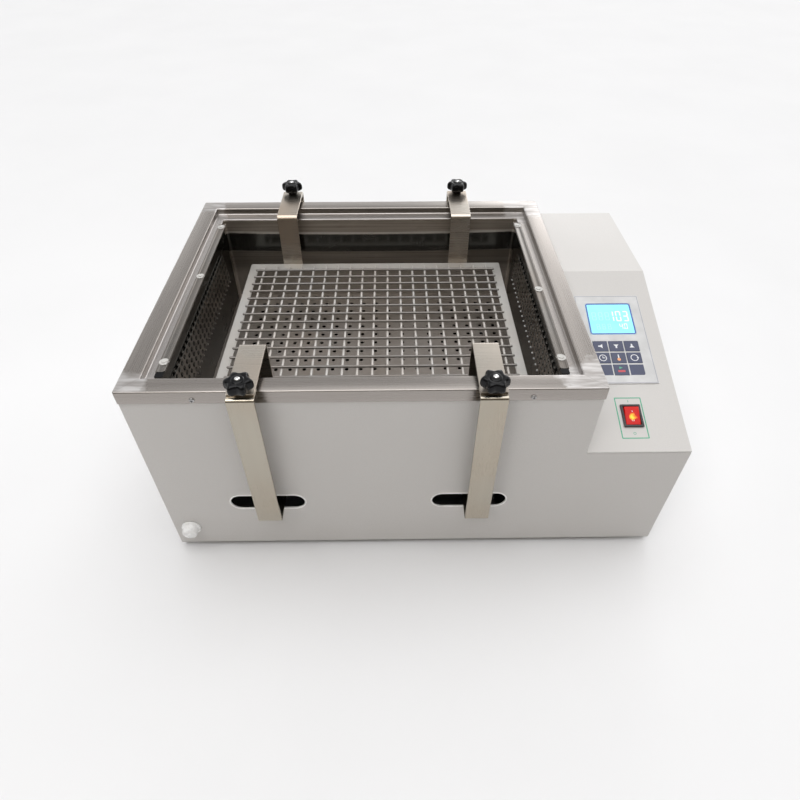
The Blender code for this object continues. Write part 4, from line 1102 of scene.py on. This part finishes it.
def works():
    """Drive, heater and electrics: own shapes with broken edges."""
    finishes = {
        machined: ("connecting_rod", "crank_wheel", "guide_rod_front", "guide_rod_rear", "temp_probe"),
        alloy: ("bearing_block_front", "bearing_block_rear", "carriage_plate", "power_supply"),
        galvanised: ("rod_support_left", "rod_support_right", "motor_bracket"),
        black_plastic: ("drive_motor", "power_inlet"),
        white_plastic: ("drain_pipe",),
        heater_metal: ("heater",),
        board: ("control_board",),
    }
    for made, nodes in finishes.items():
        for node in nodes:
            soften(node, made, 0.25 * MM)


# ---------------------------------------------------------------- studio
def studio():
    """Pale floor, a sky that is bright above and behind, and one weak soft lamp."""
    bm = bmesh.new()
    bmesh.ops.create_circle(bm, cap_ends=True, segments=96, radius=9.0)
    mesh = bpy.data.meshes.new("floor")
    bm.to_mesh(mesh)
    bm.free()
    g = Graph("floor_pale", roughness=0.85)
    g.set("Base Color", g.mix(g.span(g.noise(3, 3), 0.3, 0.7), (0.79, 0.79, 0.80), (0.81, 0.81, 0.82)))
    mesh.materials.append(g.material)
    floor = bpy.data.objects.new("floor", mesh)
    bpy.context.scene.collection.objects.link(floor)

    world = bpy.data.worlds.new("studio")
    bpy.context.scene.world = world
    world.use_nodes = True
    g = Nodes(world.node_tree, "Generated")
    up = g.axis("Z")
    behind = g.ramp(up, ((0.0, 1.16), (0.28, 1.10), (0.42, 0.88), (0.52, 0.50), (0.80, 0.48)))
    before = g.ramp(up, ((0.0, 0.17), (0.80, 0.17)))
    bearing = g.math("ARCTAN2", g.axis("X"), g.axis("Y"))
    # a soft source behind the object, a little to the right, in limits of bearing and height
    fill = g.span(bearing, math.radians(5), math.radians(13), 0.0, 1.0, True)
    for value, limits in ((bearing, (math.radians(17), math.radians(30), 1.0, 0.30)), (up, (0.45, 0.66, 2.4, 0.9)),
                          (up, (0.75, 0.85, 1.0, 0.0)), (bearing, (math.radians(60), math.radians(90), 1.0, 0.0))):
        fill = g.times(fill, g.span(value, *limits, True))
    warm_front = g.mix(1.0, before, (1.0, 0.88, 0.70), "MULTIPLY")
    sky = g.mix(g.span(g.axis("Y"), -0.15, 0.35, 0.0, 1.0, True), warm_front, behind)
    sky = g.mix(g.span(up, 0.78, 0.86, 0.0, 1.0, True), sky, (2.44, 2.45, 2.46))
    # a plain pale backdrop where the sky itself is in view
    in_view = g.node("LightPath").outputs["Is Camera Ray"]
    sky = g.mix(in_view, sky, (0.90, 0.90, 0.91))
    fill = g.times(fill, g.minus(1.0, in_view))
    background = g.tree.nodes["Background"]
    g.tree.links.new(sky, background.inputs["Color"])
    g.tree.links.new(g.plus(fill, 1.0), background.inputs["Strength"])

    light = bpy.data.lights.new("overhead_softbox", "AREA")
    light.size = 0.5
    light.energy = 5.0
    light.color = (1.0, 0.97, 0.93)
    lamp = bpy.data.objects.new("overhead_softbox", light)
    lamp.location = (-0.9, -1.3, 1.9)
    lamp.rotation_euler = (-lamp.location).to_track_quat("-Z", "Y").to_euler()
    bpy.context.scene.collection.objects.link(lamp)


def camera():
    data = bpy.data.cameras.new("camera")
    data.sensor_width = 36.0
    data.lens = 26.45
    data.clip_start = 0.02
    obj = bpy.data.objects.new("camera", data)
    obj.location = (-0.03085, -0.7281, 0.7730)
    obj.rotation_euler = [math.radians(a) for a in (46.07, -0.05, -0.82)]
    bpy.context.scene.collection.objects.link(obj)
    bpy.context.scene.camera = obj


for build in (casing, slot_trims, screws, rim, tank, shelf, wall_grilles, lid_rails, tray, arms_and_hangers, knobs,
              keypad, film_border, display, switch, drain_cap, works, studio, camera):
    build()
bpy.context.scene.view_settings.view_transform = "Standard"
